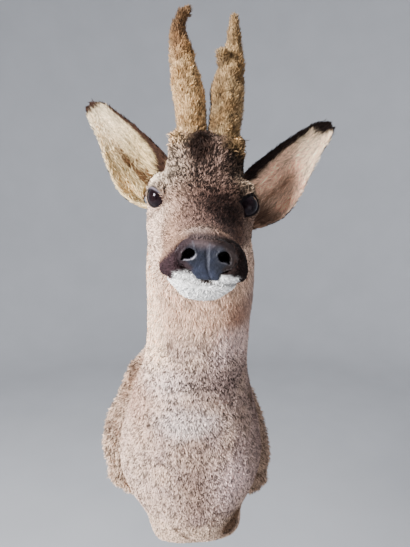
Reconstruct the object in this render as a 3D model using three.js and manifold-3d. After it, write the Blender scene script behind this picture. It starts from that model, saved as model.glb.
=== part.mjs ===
// Shoulder mount of a roe buck (Capreolus capreolus) in winter coat, with antlers in velvet, at life size.
// Millimetres. +Z is up, +X is the animal's left, and the head faces -Y. The wall is the plane Y = 0, and the
// origin is the middle of the backboard's rear face. Every solid reaches out to the tips of the coat.
import * as THREE from "three";
import { mergeVertices } from "three/addons/utils/BufferGeometryUtils.js";
import Module from "manifold-3d";

const wasm = await Module();
wasm.setup();

// ---- driving dimensions ----
const SLIT = 0.4; // width of the thin cut that parts two neighbours
const CLEARANCE = 0.35; // gap round a piece that is let into another
const NOSE = new THREE.Vector3(-12, -390, 259.5); // middle of the nose pad's face
const HEAD_PITCH = THREE.MathUtils.degToRad(5); // nose down
const HEAD_YAW = THREE.MathUtils.degToRad(-3.4); // turned to the animal's right
const HEAD_ROLL = THREE.MathUtils.degToRad(6); // crown towards the animal's left

const NOSE_HEIGHT = 15; // of the nose pad's middle above the mouth line
const MOUTH_CLEFT = 56; // length of the mouth, back from the nose
const EYE_RADIUS = 12.2;
const EYE = new THREE.Vector3(38, 121.5, 46); // left eyeball's centre, from the mouth's front
const EAR_ROOT = new THREE.Vector3(41, 208, 42); // left ear's root, a furred swelling behind the ear
const EAR_HALF_WIDTH = 32;
const EAR_THICKNESS = 5;

const BOARD_THICKNESS = 15;
const RIM_HALF_WIDTH = 138; // outer edge of the skin's hem round the backboard
const RIM_TOP_Z = 122;
const RIM_WIDEST_Z = -104;
const RIM_BOTTOM_Z = -195;
const RIM_SHOULDER = 1.65; // exponent of the rim's outline above its widest level: 2 is an ellipse
const RIM_FOOT = 2.9; // and below it
const WIDEST_SAG = 22; // how much lower the widest level lies at the rim's left edge than in the middle
const BOTTOM_SAG = 12; // and the same for the rim's bottom
const HEM_WIDTH = 36;
const HEM_THICKNESS = 21;
const BOARD_INSET = 33; // backboard's edge, in from the outer edge of the hem

// Where the flesh is parted: each seam is a plane through a point, with the direction to its front side.
const THROAT_SEAM = { point: new THREE.Vector3(0, -212, 206), direction: new THREE.Vector3(0, -0.857, 0.52) };
const BREAST_SEAM = { point: new THREE.Vector3(0, -170, 62), direction: new THREE.Vector3(0, -0.33, 0.94) };
const SHOULDER_SEAM_X = 60; // distance of each shoulder's seam from the middle

// ---- materials ----
const finish = (color, roughness) => new THREE.MeshStandardMaterial({ color, roughness, metalness: 0 });
const COAT = finish(0x9c8a76, 0.9);
const EAR_COAT = finish(0xcdbb9b, 0.9);
const NOSE_LEATHER = finish(0x2b2f38, 0.4);
const CHIN_COAT = finish(0xe6e0d6, 0.9);
const VELVET = finish(0xa5834f, 0.95);
const EYE_GLASS = finish(0x120c0a, 0.08);
const PLYWOOD = finish(0xb58f5e, 0.7);

// ---- helpers: solids, lofts and interpolated profiles ----

// A closed geometry as a manifold solid.
function solid(geometry) {
  const bare = new THREE.BufferGeometry().setAttribute("position", geometry.getAttribute("position"));
  if (geometry.getIndex()) bare.setIndex(geometry.getIndex());
  const merged = mergeVertices(bare, 1e-4);
  return new wasm.Manifold(
    new wasm.Mesh({
      numProp: 3,
      vertProperties: new Float32Array(merged.getAttribute("position").array),
      triVerts: new Uint32Array(merged.getIndex().array),
    }),
  );
}

// A manifold solid as a named mesh.
function part(name, shape, material) {
  const { vertProperties, triVerts, numProp, numVert } = shape.getMesh();
  const positions = new Float32Array(numVert * 3);
  for (let i = 0; i < numVert; i++) {
    positions.set(vertProperties.subarray(i * numProp, i * numProp + 3), i * 3);
  }
  const geometry = new THREE.BufferGeometry()
    .setAttribute("position", new THREE.BufferAttribute(positions, 3))
    .setIndex(new THREE.BufferAttribute(new Uint32Array(triVerts), 1));
  geometry.computeVertexNormals();
  const mesh = new THREE.Mesh(geometry, material);
  mesh.name = name;
  return mesh;
}

// Skin over rings of equal point counts, closed by a pole in the middle of the first and of the last ring.
function loft(rings) {
  const around = rings[0].length;
  const middle = (ring) => ring.reduce((sum, p) => sum.add(p), new THREE.Vector3()).divideScalar(around);
  const points = [middle(rings[0]), ...rings.flat(), middle(rings.at(-1))];
  const last = points.length - 1;
  const at = (ring, i) => 1 + ring * around + (i % around);
  const faces = [];
  for (let i = 0; i < around; i++) {
    faces.push(0, at(0, i + 1), at(0, i));
    faces.push(last, at(rings.length - 1, i), at(rings.length - 1, i + 1));
    for (let ring = 0; ring + 1 < rings.length; ring++) {
      faces.push(at(ring, i), at(ring, i + 1), at(ring + 1, i + 1));
      faces.push(at(ring, i), at(ring + 1, i + 1), at(ring + 1, i));
    }
  }
  const shape = solid(new THREE.BufferGeometry().setFromPoints(points).setIndex(faces));
  return shape.volume() > 0 ? shape : loft([...rings].reverse());
}

// The same skin bent into a closed band: the last ring joins the first.
function band(rings) {
  const around = rings[0].length;
  const at = (ring, i) => (ring % rings.length) * around + (i % around);
  const faces = [];
  for (let ring = 0; ring < rings.length; ring++) {
    for (let i = 0; i < around; i++) {
      faces.push(at(ring, i), at(ring, i + 1), at(ring + 1, i + 1));
      faces.push(at(ring, i), at(ring + 1, i + 1), at(ring + 1, i));
    }
  }
  const shape = solid(new THREE.BufferGeometry().setFromPoints(rings.flat()).setIndex(faces));
  return shape.volume() > 0 ? shape : band([...rings].reverse());
}

// Smooth interpolation of every column of a table of stations, keyed by its column `key`.
function profile(rows, key) {
  const slope = (i, name) => {
    const before = rows[Math.max(i - 1, 0)];
    const after = rows[Math.min(i + 1, rows.length - 1)];
    return (after[name] - before[name]) / (after[key] - before[key]);
  };
  return (value) => {
    let i = 0;
    while (i < rows.length - 2 && (rows[i + 1][key] - value) * (rows.at(-1)[key] - rows[0][key]) < 0) i++;
    const step = rows[i + 1][key] - rows[i][key];
    const t = THREE.MathUtils.clamp((value - rows[i][key]) / step, 0, 1);
    const mixed = {};
    for (const name of Object.keys(rows[0])) {
      const rise = rows[i + 1][name] - rows[i][name];
      const from = slope(i, name) * step;
      const to = slope(i + 1, name) * step;
      mixed[name] = rows[i][name] + t * (from + t * (3 * rise - 2 * from - to + t * (from + to - 2 * rise)));
    }
    return mixed;
  };
}

const signedPower = (x, power) => Math.sign(x) * Math.abs(x) ** power;
const spread = (from, to, count) =>
  Array.from({ length: count }, (_, i) => from + ((to - from) * i) / (count - 1));
const turns = (count) => Array.from({ length: count }, (_, i) => (2 * Math.PI * i) / count);

// The biggest of the separate bodies in a shape.
const largest = (shape) => shape.decompose().sort((a, b) => b.volume() - a.volume())[0];

// Everything on the side of a plane that its normal points to, as a large box.
function halfSpace(point, normal) {
  const size = 1500;
  const box = new THREE.BoxGeometry(size, size, size).translate(0, 0, size / 2);
  box.applyQuaternion(new THREE.Quaternion().setFromUnitVectors(new THREE.Vector3(0, 0, 1), normal));
  return solid(box.translate(point.x, point.y, point.z));
}

// The two sides of a shape, parted by a slit along a plane: [the side the normal points to, the other].
function cut(shape, point, direction) {
  const normal = direction.clone().normalize();
  const shifted = (distance) => point.clone().addScaledVector(normal, distance);
  const front = shape.intersect(halfSpace(shifted(SLIT / 2), normal));
  const back = shape.intersect(halfSpace(shifted(-SLIT / 2), normal.clone().negate()));
  return [front, back];
}

// A tapered round rod along a smooth path; radiusAt takes the share of the length.
function taperedRod(points, radiusAt, steps, sides) {
  const curve = new THREE.CatmullRomCurve3(points);
  const frames = curve.computeFrenetFrames(steps);
  const rings = spread(0, 1, steps + 1).map((t, k) => {
    const centre = curve.getPointAt(t);
    return turns(sides).map((angle) =>
      centre
        .clone()
        .addScaledVector(frames.normals[k], radiusAt(t) * Math.cos(angle))
        .addScaledVector(frames.binormals[k], radiusAt(t) * Math.sin(angle)),
    );
  });
  return loft(rings);
}

// ---- the head's own frame: x to the left, y back from the mouth's front, z up from the mouth line ----
const headAngles = new THREE.Euler(HEAD_PITCH, HEAD_ROLL, HEAD_YAW, "ZXY");
const headTurn = new THREE.Matrix4().makeRotationFromEuler(headAngles);
const headFrame = new THREE.Matrix4()
  .makeTranslation(NOSE)
  .multiply(headTurn)
  .multiply(new THREE.Matrix4().makeTranslation(0, 0, -NOSE_HEIGHT));
const inWorld = (shape) => shape.transform(headFrame.elements);
const mirrored = (v, side) => new THREE.Vector3(v.x * side, v.y, v.z);

// Cross-sections of the head, by distance back from the nose. `widest` is the height of the greatest
// width, and `crown` and `keel` are the exponents of the upper and lower outline: 2 is an ellipse, more is
// boxier.
const HEAD_STATIONS = [
  { back: -1, half: 19, top: 26, bottom: 4, widest: 15, crown: 2.4, keel: 2.0 },
  { back: 4, half: 25, top: 30, bottom: -8, widest: 12, crown: 2.3, keel: 2.1 },
  { back: 13, half: 29, top: 32.5, bottom: -15, widest: 7, crown: 2.1, keel: 2.2 },
  { back: 27, half: 29.5, top: 35, bottom: -18, widest: 5, crown: 2.1, keel: 2.4 },
  { back: 45, half: 28, top: 38.5, bottom: -20, widest: 8, crown: 2.2, keel: 2.3 },
  { back: 65, half: 30, top: 44, bottom: -23, widest: 13, crown: 2.3, keel: 2.2 },
  { back: 85, half: 36, top: 52, bottom: -28, widest: 20, crown: 2.4, keel: 2.1 },
  { back: 104, half: 43.5, top: 61, bottom: -33, widest: 29, crown: 2.5, keel: 2.1 },
  { back: 122, half: 50, top: 71, bottom: -38, widest: 36, crown: 2.6, keel: 2.1 },
  { back: 142, half: 52.5, top: 82, bottom: -42, widest: 34, crown: 2.5, keel: 2.2 },
  { back: 162, half: 53, top: 87, bottom: -43, widest: 28, crown: 2.4, keel: 2.3 },
  { back: 182, half: 52, top: 85, bottom: -40, widest: 25, crown: 2.3, keel: 2.3 },
  { back: 202, half: 47, top: 74, bottom: -32, widest: 24, crown: 2.2, keel: 2.2 },
  { back: 218, half: 36, top: 56, bottom: -16, widest: 22, crown: 2.1, keel: 2.1 },
];
const HEAD_RINGS = 21;
const HEAD_SIDES = 26;

// Forms that the sections can't hold: each pushes the surface near a point of the left side, and of the
// right side in mirror image, with a smooth fall-off over its radius.
const HEAD_FORMS = {
  eyeHollow: { at: [50, 114, 45], radius: 16, push: [-9, 4, 0] },
  browRidge: { at: [44, 128, 64], radius: 13, push: [5, -4, 2] },
  cheekBone: { at: [50, 131, 27], radius: 15, push: [3, -2, -1] },
  tearPit: { at: [43, 101, 37], radius: 10, push: [-2, 0.5, 0] },
  jawMuscle: { at: [52, 166, -6], radius: 26, push: [3.5, 0, -3] },
  lipSwell: { at: [25, 14, 4], radius: 9, push: [2, -2.5, 0] },
  jawTaper: { at: [26, 14, -11], radius: 11, push: [-6, 0, 1] },
  jawFlank: { at: [28, 34, -12], radius: 13, push: [-5, 0, 1] },
  nostrilWing: { at: [19, 3, 19], radius: 8, push: [2.5, -2, 0.5] },
};

// The head's skin of coat tips; grow moves it outwards, to leave a clearance round it.
function headShell(grow = 0) {
  const stationAt = profile(HEAD_STATIONS, "back");
  const first = HEAD_STATIONS[0].back;
  const length = HEAD_STATIONS.at(-1).back - first;
  const rings = spread(0, 1, HEAD_RINGS).map((share) => {
    const s = stationAt(first + length * share ** 1.35);
    return turns(HEAD_SIDES).map((angle) => {
      const up = Math.sin(angle) > 0;
      const power = 2 / (up ? s.crown : s.keel);
      const reach = up ? s.top - s.widest : s.widest - s.bottom;
      const x = (s.half + grow) * signedPower(Math.cos(angle), power);
      const z = s.widest + (reach + grow) * signedPower(Math.sin(angle), power);
      return sculpted(new THREE.Vector3(x, s.back, z));
    });
  });
  return loft(rings);
}

function sculpted(point) {
  const moved = point.clone();
  for (const { at, radius, push } of Object.values(HEAD_FORMS)) {
    for (const side of [-1, 1]) {
      const distance = point.distanceTo(new THREE.Vector3(at[0] * side, at[1], at[2]));
      const weight = Math.exp(-((distance / radius) ** 2));
      moved.add(new THREE.Vector3(push[0] * side, push[1], push[2]).multiplyScalar(weight));
    }
  }
  return moved;
}

// The furred crown over both pedicles, by height: half its width, and how far back its front and rear lie.
const CROWN_STATIONS = [
  { up: 56, half: 45, front: 116, rear: 206 },
  { up: 72, half: 43.5, front: 125, rear: 201 },
  { up: 86, half: 42, front: 134, rear: 194 },
  { up: 98, half: 40.5, front: 141, rear: 188 },
  { up: 106, half: 38, front: 146, rear: 184 },
  { up: 111, half: 32, front: 151, rear: 180 },
];
const CROWN_SIDES = 20;

function crown() {
  const stationAt = profile(CROWN_STATIONS, "up");
  const rings = spread(CROWN_STATIONS[0].up, CROWN_STATIONS.at(-1).up, 8).map((up) => {
    const s = stationAt(up);
    const middle = (s.front + s.rear) / 2;
    const power = 2 / 2.5;
    return turns(CROWN_SIDES).map((angle) => {
      const x = s.half * signedPower(Math.cos(angle), power);
      const y = middle + ((s.rear - s.front) / 2) * signedPower(Math.sin(angle), power);
      return new THREE.Vector3(x, y, up);
    });
  });
  return loft(rings);
}

// The swelling that one ear grows from.
function earRoot(side) {
  const at = mirrored(EAR_ROOT, side);
  const swelling = new THREE.SphereGeometry(1, 14, 10).scale(22, 19, 29).rotateY(side * 0.3);
  return solid(swelling.translate(at.x, at.y, at.z));
}

// ---- antlers, in velvet ----
const ANTLER_STEPS = 15;
const ANTLER_SIDES = 12;
const RIGHT_BEAM = [
  [-15.5, 163, 96],
  [-16.5, 166, 112],
  [-20.5, 168, 134],
  [-27.5, 171, 157],
  [-35, 176, 184],
  [-39, 180, 202],
  [-38.5, 183, 214],
  [-33, 184, 221],
  [-29, 182, 221],
];
const RIGHT_BEAM_RADII = [
  { at: 0, radius: 13.6 },
  { at: 0.12, radius: 14 },
  { at: 0.3, radius: 14.8 },
  { at: 0.47, radius: 14 },
  { at: 0.66, radius: 11 },
  { at: 0.8, radius: 7.4 },
  { at: 0.9, radius: 6 },
  { at: 1, radius: 3.4 },
];
const LEFT_BEAM = [
  [15, 163, 96],
  [14.8, 166, 113],
  [15, 168, 134],
  [14.4, 170, 152],
  [16.3, 172, 167],
  [17.5, 175, 182],
  [16, 179, 200],
  [13, 184, 223],
];
const LEFT_BEAM_RADII = [
  { at: 0, radius: 14.6 },
  { at: 0.3, radius: 15.6 },
  { at: 0.45, radius: 15.4 },
  { at: 0.56, radius: 13.4 },
  { at: 0.68, radius: 8.8 },
  { at: 0.84, radius: 6.8 },
  { at: 0.95, radius: 5 },
  { at: 1, radius: 3 },
];
const LEFT_FORK = 0.5; // share of the left beam where the front tine leaves it
const LEFT_TINE = [
  [13, 172, 167],
  [7.5, 166, 175],
  [3.5, 161, 184],
];
const TINE_RADII = [
  { at: 0, radius: 9 },
  { at: 0.5, radius: 6.6 },
  { at: 1, radius: 4.4 },
];

const toVectors = (rows) => rows.map((row) => new THREE.Vector3(...row));

function beam(path, radii, grow = 0, steps = ANTLER_STEPS) {
  const radiusAt = profile(radii, "at");
  return taperedRod(toVectors(path), (t) => radiusAt(t).radius + grow, steps, ANTLER_SIDES);
}

// ---- ears ----
// Across the ear the shell is an arc: `half` is half its chord as a share of the ear's half width, `arc`
// half its angle in degrees, `lean` how far the ear has bent back, and `skew` how far it has swung to its
// lower edge.
const EAR_STATIONS = [
  { up: -0.1, half: 0.5, arc: 100, lean: -4, skew: 0 },
  { up: 0, half: 0.74, arc: 94, lean: -2, skew: 0.04 },
  { up: 0.16, half: 0.95, arc: 76, lean: 1.5, skew: 0.07 },
  { up: 0.36, half: 0.88, arc: 62, lean: 2.5, skew: 0.05 },
  { up: 0.52, half: 0.74, arc: 54, lean: 2, skew: -0.03 },
  { up: 0.68, half: 0.57, arc: 48, lean: 2.5, skew: -0.08 },
  { up: 0.84, half: 0.42, arc: 42, lean: 4, skew: -0.09 },
  { up: 0.95, half: 0.3, arc: 36, lean: 6, skew: -0.05 },
  { up: 1, half: 0.14, arc: 30, lean: 7, skew: 0 },
];
const EAR_RINGS = 14;
const EAR_STEPS = 7;

// One ear, standing on its base with its opening towards -y; lower is the side of x its lower edge is on.
function earShell(length, lower) {
  const stationAt = profile(EAR_STATIONS, "up");
  const rings = spread(EAR_STATIONS[0].up, 1, EAR_RINGS).map((up) => {
    const s = stationAt(up);
    const arc = THREE.MathUtils.degToRad(s.arc);
    const radius = (s.half * EAR_HALF_WIDTH) / Math.sin(arc);
    const thickness = EAR_THICKNESS * (1 - 0.45 * up);
    const wall = (angle, offset) =>
      new THREE.Vector3(
        (radius + offset) * Math.sin(angle) + lower * s.skew * EAR_HALF_WIDTH,
        s.lean + (radius + offset) * Math.cos(angle) - radius * Math.cos(arc),
        up * length,
      );
    const inner = spread(-arc, arc, EAR_STEPS).map((angle) => wall(angle, -0.4));
    const thinned = (angle) => thickness * (1 - 0.5 * (angle / arc) ** 4);
    const outer = spread(arc, -arc, EAR_STEPS).map((angle) => wall(angle, thinned(angle)));
    return [...inner, ...outer];
  });
  return loft(rings);
}

// Where each ear stands, in the part's frame: the middle of its foot, its tip, and the way its opening faces.
const EAR_POSES = {
  ear_left: { foot: [54, -214, 297], tip: [153, -193, 390], facing: [0.2, -1, 0.25], lower: 1 },
  ear_right: { foot: [-45, -204, 317], tip: [-122, -162, 412], facing: [-0.35, -1, 0.1], lower: -1 },
};

function ear(pose) {
  const foot = new THREE.Vector3(...pose.foot);
  const along = new THREE.Vector3(...pose.tip).sub(foot);
  const length = along.length();
  const up = along.clone().normalize();
  const across = up.clone().cross(new THREE.Vector3(...pose.facing)).normalize();
  const back = up.clone().cross(across);
  const place = new THREE.Matrix4().makeBasis(across, back, up).setPosition(foot);
  return earShell(length, pose.lower).transform(place.elements);
}

// ---- neck and trunk: level sections, by height ----
// `half` is half the width, `front` and `rear` the distances from the wall, `widest` where the width is
// greatest, and `shift` the sideways place of the middle. Below the neck the rear lies behind the wall, and
// is cut off there.
const TRUNK_STATIONS = [
  { height: 330, half: 26, front: 204, rear: 168, widest: 186, shift: 6, breast: 2, nape: 2 },
  { height: 310, half: 42, front: 222, rear: 157, widest: 188, shift: 5, breast: 2, nape: 2 },
  { height: 285, half: 54, front: 231, rear: 143, widest: 186, shift: 4, breast: 2, nape: 2 },
  { height: 255, half: 62, front: 231, rear: 125, widest: 179, shift: 4.5, breast: 2.1, nape: 2.1 },
  { height: 225, half: 65, front: 222, rear: 102, widest: 167, shift: 5.5, breast: 2.1, nape: 2.1 },
  { height: 195, half: 66.5, front: 207, rear: 76, widest: 150, shift: 6.5, breast: 2.1, nape: 2.1 },
  { height: 165, half: 67, front: 193, rear: 44, widest: 134, shift: 6.5, breast: 2.1, nape: 1.9 },
  { height: 135, half: 68, front: 181, rear: 8, widest: 118, shift: 6.5, breast: 2.1, nape: 1.65 },
  { height: 105, half: 71, front: 172, rear: -28, widest: 100, shift: 6, breast: 2.1, nape: 1.6 },
  { height: 65, half: 79, front: 164, rear: -50, widest: 80, shift: 3, breast: 2.1, nape: 1.7 },
  { height: 25, half: 91, front: 162, rear: -60, widest: 64, shift: 2, breast: 2.2, nape: 1.9 },
  { height: -20, half: 103, front: 166, rear: -60, widest: 56, shift: 1, breast: 2.2, nape: 2.1 },
  { height: -65, half: 109, front: 168, rear: -60, widest: 54, shift: 0, breast: 2.1, nape: 2.4 },
  { height: -100, half: 104, front: 164, rear: -60, widest: 52, shift: 0, breast: 1.9, nape: 2.4 },
  { height: -130, half: 87, front: 155, rear: -60, widest: 50, shift: 1, breast: 1.95, nape: 2.4 },
  { height: -150, half: 77, front: 144, rear: -60, widest: 50, shift: 3, breast: 2.15, nape: 2.4 },
  { height: -170, half: 72, front: 129, rear: -45, widest: 52, shift: 5.5, breast: 2.4, nape: 2.4 },
  { height: -188, half: 73, front: 110, rear: -5, widest: 54, shift: 8, breast: 2.6, nape: 2.4 },
  { height: -200, half: 72, front: 96, rear: 20, widest: 57, shift: 8, breast: 2.6, nape: 2.4 },
  { height: -207, half: 65, front: 87, rear: 34, widest: 60, shift: 8, breast: 2.6, nape: 2.3 },
];
const TRUNK_RINGS = 23;
const TRUNK_SIDES = 28;

function trunkShell() {
  const stationAt = profile(TRUNK_STATIONS, "height");
  const rings = spread(TRUNK_STATIONS[0].height, TRUNK_STATIONS.at(-1).height, TRUNK_RINGS).map((height) => {
    const s = stationAt(height);
    return turns(TRUNK_SIDES).map((angle) => {
      const ahead = Math.sin(angle) > 0;
      const power = 2 / (ahead ? s.breast : s.nape);
      const reach = ahead ? s.front - s.widest : s.widest - s.rear;
      const x = s.shift + s.half * signedPower(Math.cos(angle), power);
      const y = -s.widest - reach * signedPower(Math.sin(angle), power);
      return new THREE.Vector3(x, y, height);
    });
  });
  return loft(rings);
}

// ---- the rim: the outline on the wall that the hem and the backboard share ----
function rimPoint(angle, inset, depth) {
  const above = Math.sin(angle) > 0;
  const power = 2 / (above ? RIM_SHOULDER : RIM_FOOT);
  const x = (RIM_HALF_WIDTH - inset) * signedPower(Math.cos(angle), power);
  const widest = RIM_WIDEST_Z - (WIDEST_SAG * x) / RIM_HALF_WIDTH;
  const bottom = RIM_BOTTOM_Z - (BOTTOM_SAG * x) / RIM_HALF_WIDTH;
  const reach = above ? RIM_TOP_Z - widest : widest - bottom;
  const z = widest + (reach - inset) * signedPower(Math.sin(angle), power);
  return new THREE.Vector3(x, -depth, z);
}

// The cut edge of the skin, drawn round the backboard: a flat roll whose outer edge runs in shallow waves.
function hem(grow = 0) {
  const stations = 48;
  const sides = 6;
  const rings = turns(stations).map((angle) => {
    const wave = 2.2 * Math.sin(9 * angle) + 1.6 * Math.sin(16 * angle + 1) + 1.1 * Math.sin(25 * angle);
    return turns(sides).map((turn) => {
      const across = signedPower(Math.cos(turn), 0.75);
      const through = signedPower(Math.sin(turn), 0.75);
      const inset = HEM_WIDTH / 2 - across * (HEM_WIDTH / 2 + grow) - (across > 0.5 ? wave : 0);
      const depth = 1 + HEM_THICKNESS / 2 + through * (HEM_THICKNESS / 2 + grow) * (1 - 0.25 * across);
      return rimPoint(angle, inset, depth);
    });
  });
  return band(rings);
}

function backboard(grow = 0) {
  const outline = new THREE.Shape(
    turns(40).map((angle) => {
      const p = rimPoint(angle, BOARD_INSET - grow, 0);
      return new THREE.Vector2(p.x, p.z);
    }),
  );
  const slab = new THREE.ExtrudeGeometry(outline, { depth: BOARD_THICKNESS + grow, bevelEnabled: false });
  return solid(slab.rotateX(Math.PI / 2));
}

// ---- assembly ----
const group = new THREE.Group();
const add = (name, shape, material) => group.add(part(name, shape, material));

// Hem and backboard.
const board = backboard();
add("backboard", board, PLYWOOD);
const skinHem = largest(hem().subtract(backboard(CLEARANCE)));
add("skin_hem", skinHem, COAT);

// The flesh, whole: trunk, neck, head and pedicles. The trunk stands on the board's front face, inside the
// hem.
const boardFront = new THREE.Vector3(0, -BOARD_THICKNESS - CLEARANCE, 0);
const beforeBoard = halfSpace(boardFront, new THREE.Vector3(0, -1, 0));
const trunk = trunkShell().intersect(beforeBoard).subtract(hem(CLEARANCE));
const outgrowths = crown().add(earRoot(1)).add(earRoot(-1));
const headWhole = headShell().add(outgrowths);
const headGrown = headShell(CLEARANCE).add(outgrowths);

// Eyes: glass balls in open sockets.
const ball = (radius, side) => {
  const at = mirrored(EYE, side);
  return solid(new THREE.SphereGeometry(radius, 14, 10).translate(at.x, at.y, at.z));
};
const sockets = ball(EYE_RADIUS + CLEARANCE, 1).add(ball(EYE_RADIUS + CLEARANCE, -1));
add("eye_left", inWorld(ball(EYE_RADIUS, 1)), EYE_GLASS);
add("eye_right", inWorld(ball(EYE_RADIUS, -1)), EYE_GLASS);

// Antlers: the right one is a single beam, and the left one is parted at the fork of its front tine.
const rightAntler = beam(RIGHT_BEAM, RIGHT_BEAM_RADII);
const leftAntler = beam(LEFT_BEAM, LEFT_BEAM_RADII);
const forkPoint = new THREE.CatmullRomCurve3(toVectors(LEFT_BEAM)).getPointAt(LEFT_FORK);
const [leftTop, leftFoot] = cut(leftAntler, forkPoint, new THREE.Vector3(0, 0.15, 1));
const tine = beam(LEFT_TINE, TINE_RADII, 0, 5).subtract(beam(LEFT_BEAM, LEFT_BEAM_RADII, CLEARANCE));
const leftRoot = beam(LEFT_BEAM, LEFT_BEAM_RADII, CLEARANCE);
const antlerRoots = beam(RIGHT_BEAM, RIGHT_BEAM_RADII, CLEARANCE).add(leftRoot);
add("antler_right", inWorld(rightAntler), VELVET);
add("antler_left_base", inWorld(leftFoot), VELVET);
add("antler_left_beam", inWorld(leftTop), VELVET);
add("antler_left_tine", inWorld(tine), VELVET);

// Ears, let into the sides of the crown.
for (const [name, pose] of Object.entries(EAR_POSES)) {
  add(name, largest(ear(pose).subtract(inWorld(headGrown)).subtract(trunk)), EAR_COAT);
}

// Nose pad: the front of the muzzle inside its outline, with two nostrils.
const PAD_DEPTH = 20;
const PAD_BACK = 10; // how far back from the nose the pad's rear face lies
const NOSTRIL = { x: 11.2, back: -1, up: 18.5, radii: [3.4, 9, 3.9], turn: -0.35, slant: 0.5 };

function nosePadBlock(grow = 0) {
  const outline = new THREE.Shape();
  outline.moveTo(0, -3 - grow);
  outline.bezierCurveTo(9 + grow, -2 - grow, 6 + grow, 7, 12 + grow, 9 - grow);
  outline.bezierCurveTo(21 + grow, 10 - grow, 24 + grow, 20, 16 + grow, 26 + grow);
  outline.bezierCurveTo(10, 31 + grow, -10, 31 + grow, -16 - grow, 26 + grow);
  outline.bezierCurveTo(-24 - grow, 20, -21 - grow, 10 - grow, -12 - grow, 9 - grow);
  outline.bezierCurveTo(-6 - grow, 7, -9 - grow, -2 - grow, 0, -3 - grow);
  const depth = PAD_DEPTH + grow;
  const block = new THREE.ExtrudeGeometry(outline, { depth, bevelEnabled: false, curveSegments: 5 });
  return solid(block.rotateX(Math.PI / 2).translate(0, PAD_BACK + grow, 0));
}
function nostril(side) {
  const hollow = new THREE.SphereGeometry(1, 12, 8).scale(...NOSTRIL.radii);
  hollow.rotateZ(side * NOSTRIL.turn).rotateY(side * NOSTRIL.slant);
  return solid(hollow.translate(side * NOSTRIL.x, NOSTRIL.back, NOSTRIL.up));
}

// Lower jaw: what lies under the mouth line, as far back as the mouth's corner.
function jawBlock(grow = 0) {
  const width = 90; // wider, deeper and further forward than the jaw itself
  const height = 50;
  const length = MOUTH_CLEFT + 20;
  const lipLine = -1.5;
  const block = new THREE.BoxGeometry(width, length + grow, height + grow);
  return solid(block.translate(0, MOUTH_CLEFT + grow / 2 - length / 2, lipLine + grow / 2 - height / 2));
}

const nosePad = headWhole.intersect(nosePadBlock()).subtract(nostril(1)).subtract(nostril(-1));
const lowerJaw = headWhole.intersect(jawBlock()).subtract(nosePadBlock(SLIT));
add("nose_pad", inWorld(nosePad), NOSE_LEATHER);
add("lower_jaw", inWorld(lowerJaw), CHIN_COAT);

const carved = headWhole.subtract(sockets).subtract(antlerRoots);
const face = carved.subtract(nosePadBlock(SLIT)).subtract(jawBlock(SLIT));
const flesh = inWorld(face).add(trunk.subtract(inWorld(antlerRoots)));
const [head, body] = cut(flesh, THROAT_SEAM.point, THROAT_SEAM.direction);
add("head", head, COAT);

// Neck, chest and the two shoulders.
const [neck, bust] = cut(body, BREAST_SEAM.point, BREAST_SEAM.direction);
const sideways = (x) => [new THREE.Vector3(x, 0, 0), new THREE.Vector3(Math.sign(x), 0, 0)];
const [leftShoulder, middle] = cut(bust, ...sideways(SHOULDER_SEAM_X));
const [rightShoulder, chest] = cut(middle, ...sideways(-SHOULDER_SEAM_X));
add("neck", neck, COAT);
add("chest", chest, COAT);
add("shoulder_left", leftShoulder, COAT);
add("shoulder_right", rightShoulder, COAT);

export default group;
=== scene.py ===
"""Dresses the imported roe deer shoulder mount: skin, coat, nose, eyes, antlers in velvet, backboard and stage.

Everything is in metres, in the part's frame: +Z is up, +X is the animal's left, and the head faces -Y from the
wall at Y = 0. Markings and folds are placed in the head's own frame, in millimetres: x to the animal's left,
s back from the nose, z up from the mouth line.
"""

import math

import bpy
import numpy as np
from mathutils import Matrix, Vector
from mathutils.bvhtree import BVHTree


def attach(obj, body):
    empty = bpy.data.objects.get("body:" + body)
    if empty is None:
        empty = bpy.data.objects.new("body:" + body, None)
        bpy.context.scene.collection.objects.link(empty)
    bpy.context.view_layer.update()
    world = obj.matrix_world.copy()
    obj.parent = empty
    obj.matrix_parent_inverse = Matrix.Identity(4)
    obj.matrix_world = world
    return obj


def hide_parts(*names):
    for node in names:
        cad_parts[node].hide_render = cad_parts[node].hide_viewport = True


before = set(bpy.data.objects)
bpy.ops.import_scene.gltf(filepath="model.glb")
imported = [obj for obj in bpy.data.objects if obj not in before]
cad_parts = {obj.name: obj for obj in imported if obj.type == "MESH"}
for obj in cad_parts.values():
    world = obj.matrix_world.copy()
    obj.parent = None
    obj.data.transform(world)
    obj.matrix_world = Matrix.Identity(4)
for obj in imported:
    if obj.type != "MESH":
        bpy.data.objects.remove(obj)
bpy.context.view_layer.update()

MM = 0.001
RANDOM = np.random.default_rng(7)

FLESH_NODES = ["head", "lower_jaw", "nose_pad", "neck", "chest", "shoulder_left", "shoulder_right", "skin_hem"]
EAR_NODES = ["ear_left", "ear_right"]

# The head's own frame, as the solids have it.
NOSE = Vector((-0.012, -0.390, 0.2595))
NOSE_HEIGHT = 15
HEAD_PITCH, HEAD_YAW, HEAD_ROLL = (math.radians(a) for a in (5, -3.4, 6))

# The camera stands where the photographer stood: close, and a little left of and above the nose.
CAMERA_PLACE = Vector((-0.0399, -0.6493, 0.2877))
CAMERA_YAW = math.radians(-6)
CAMERA_PITCH = math.radians(-8)
FRAME_WIDTH, FRAME_HEIGHT = 410, 547
FOCAL_PIXELS = 410

SKIN_VOXEL = 2.3 * MM
EAR_VOXEL = 1.1 * MM
ANTLER_VOXEL = 1.0 * MM
NOSE_VOXEL = 0.7 * MM


# ---- small numeric helpers ----


def unit(v):
    return v / np.maximum(np.linalg.norm(v, axis=-1, keepdims=True), 1e-9)


def dot(a, b):
    return (a * b).sum(-1)


def smoothstep(low, high, x):
    t = np.clip((x - low) / (high - low), 0, 1)
    return t * t * (3 - 2 * t)


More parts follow.
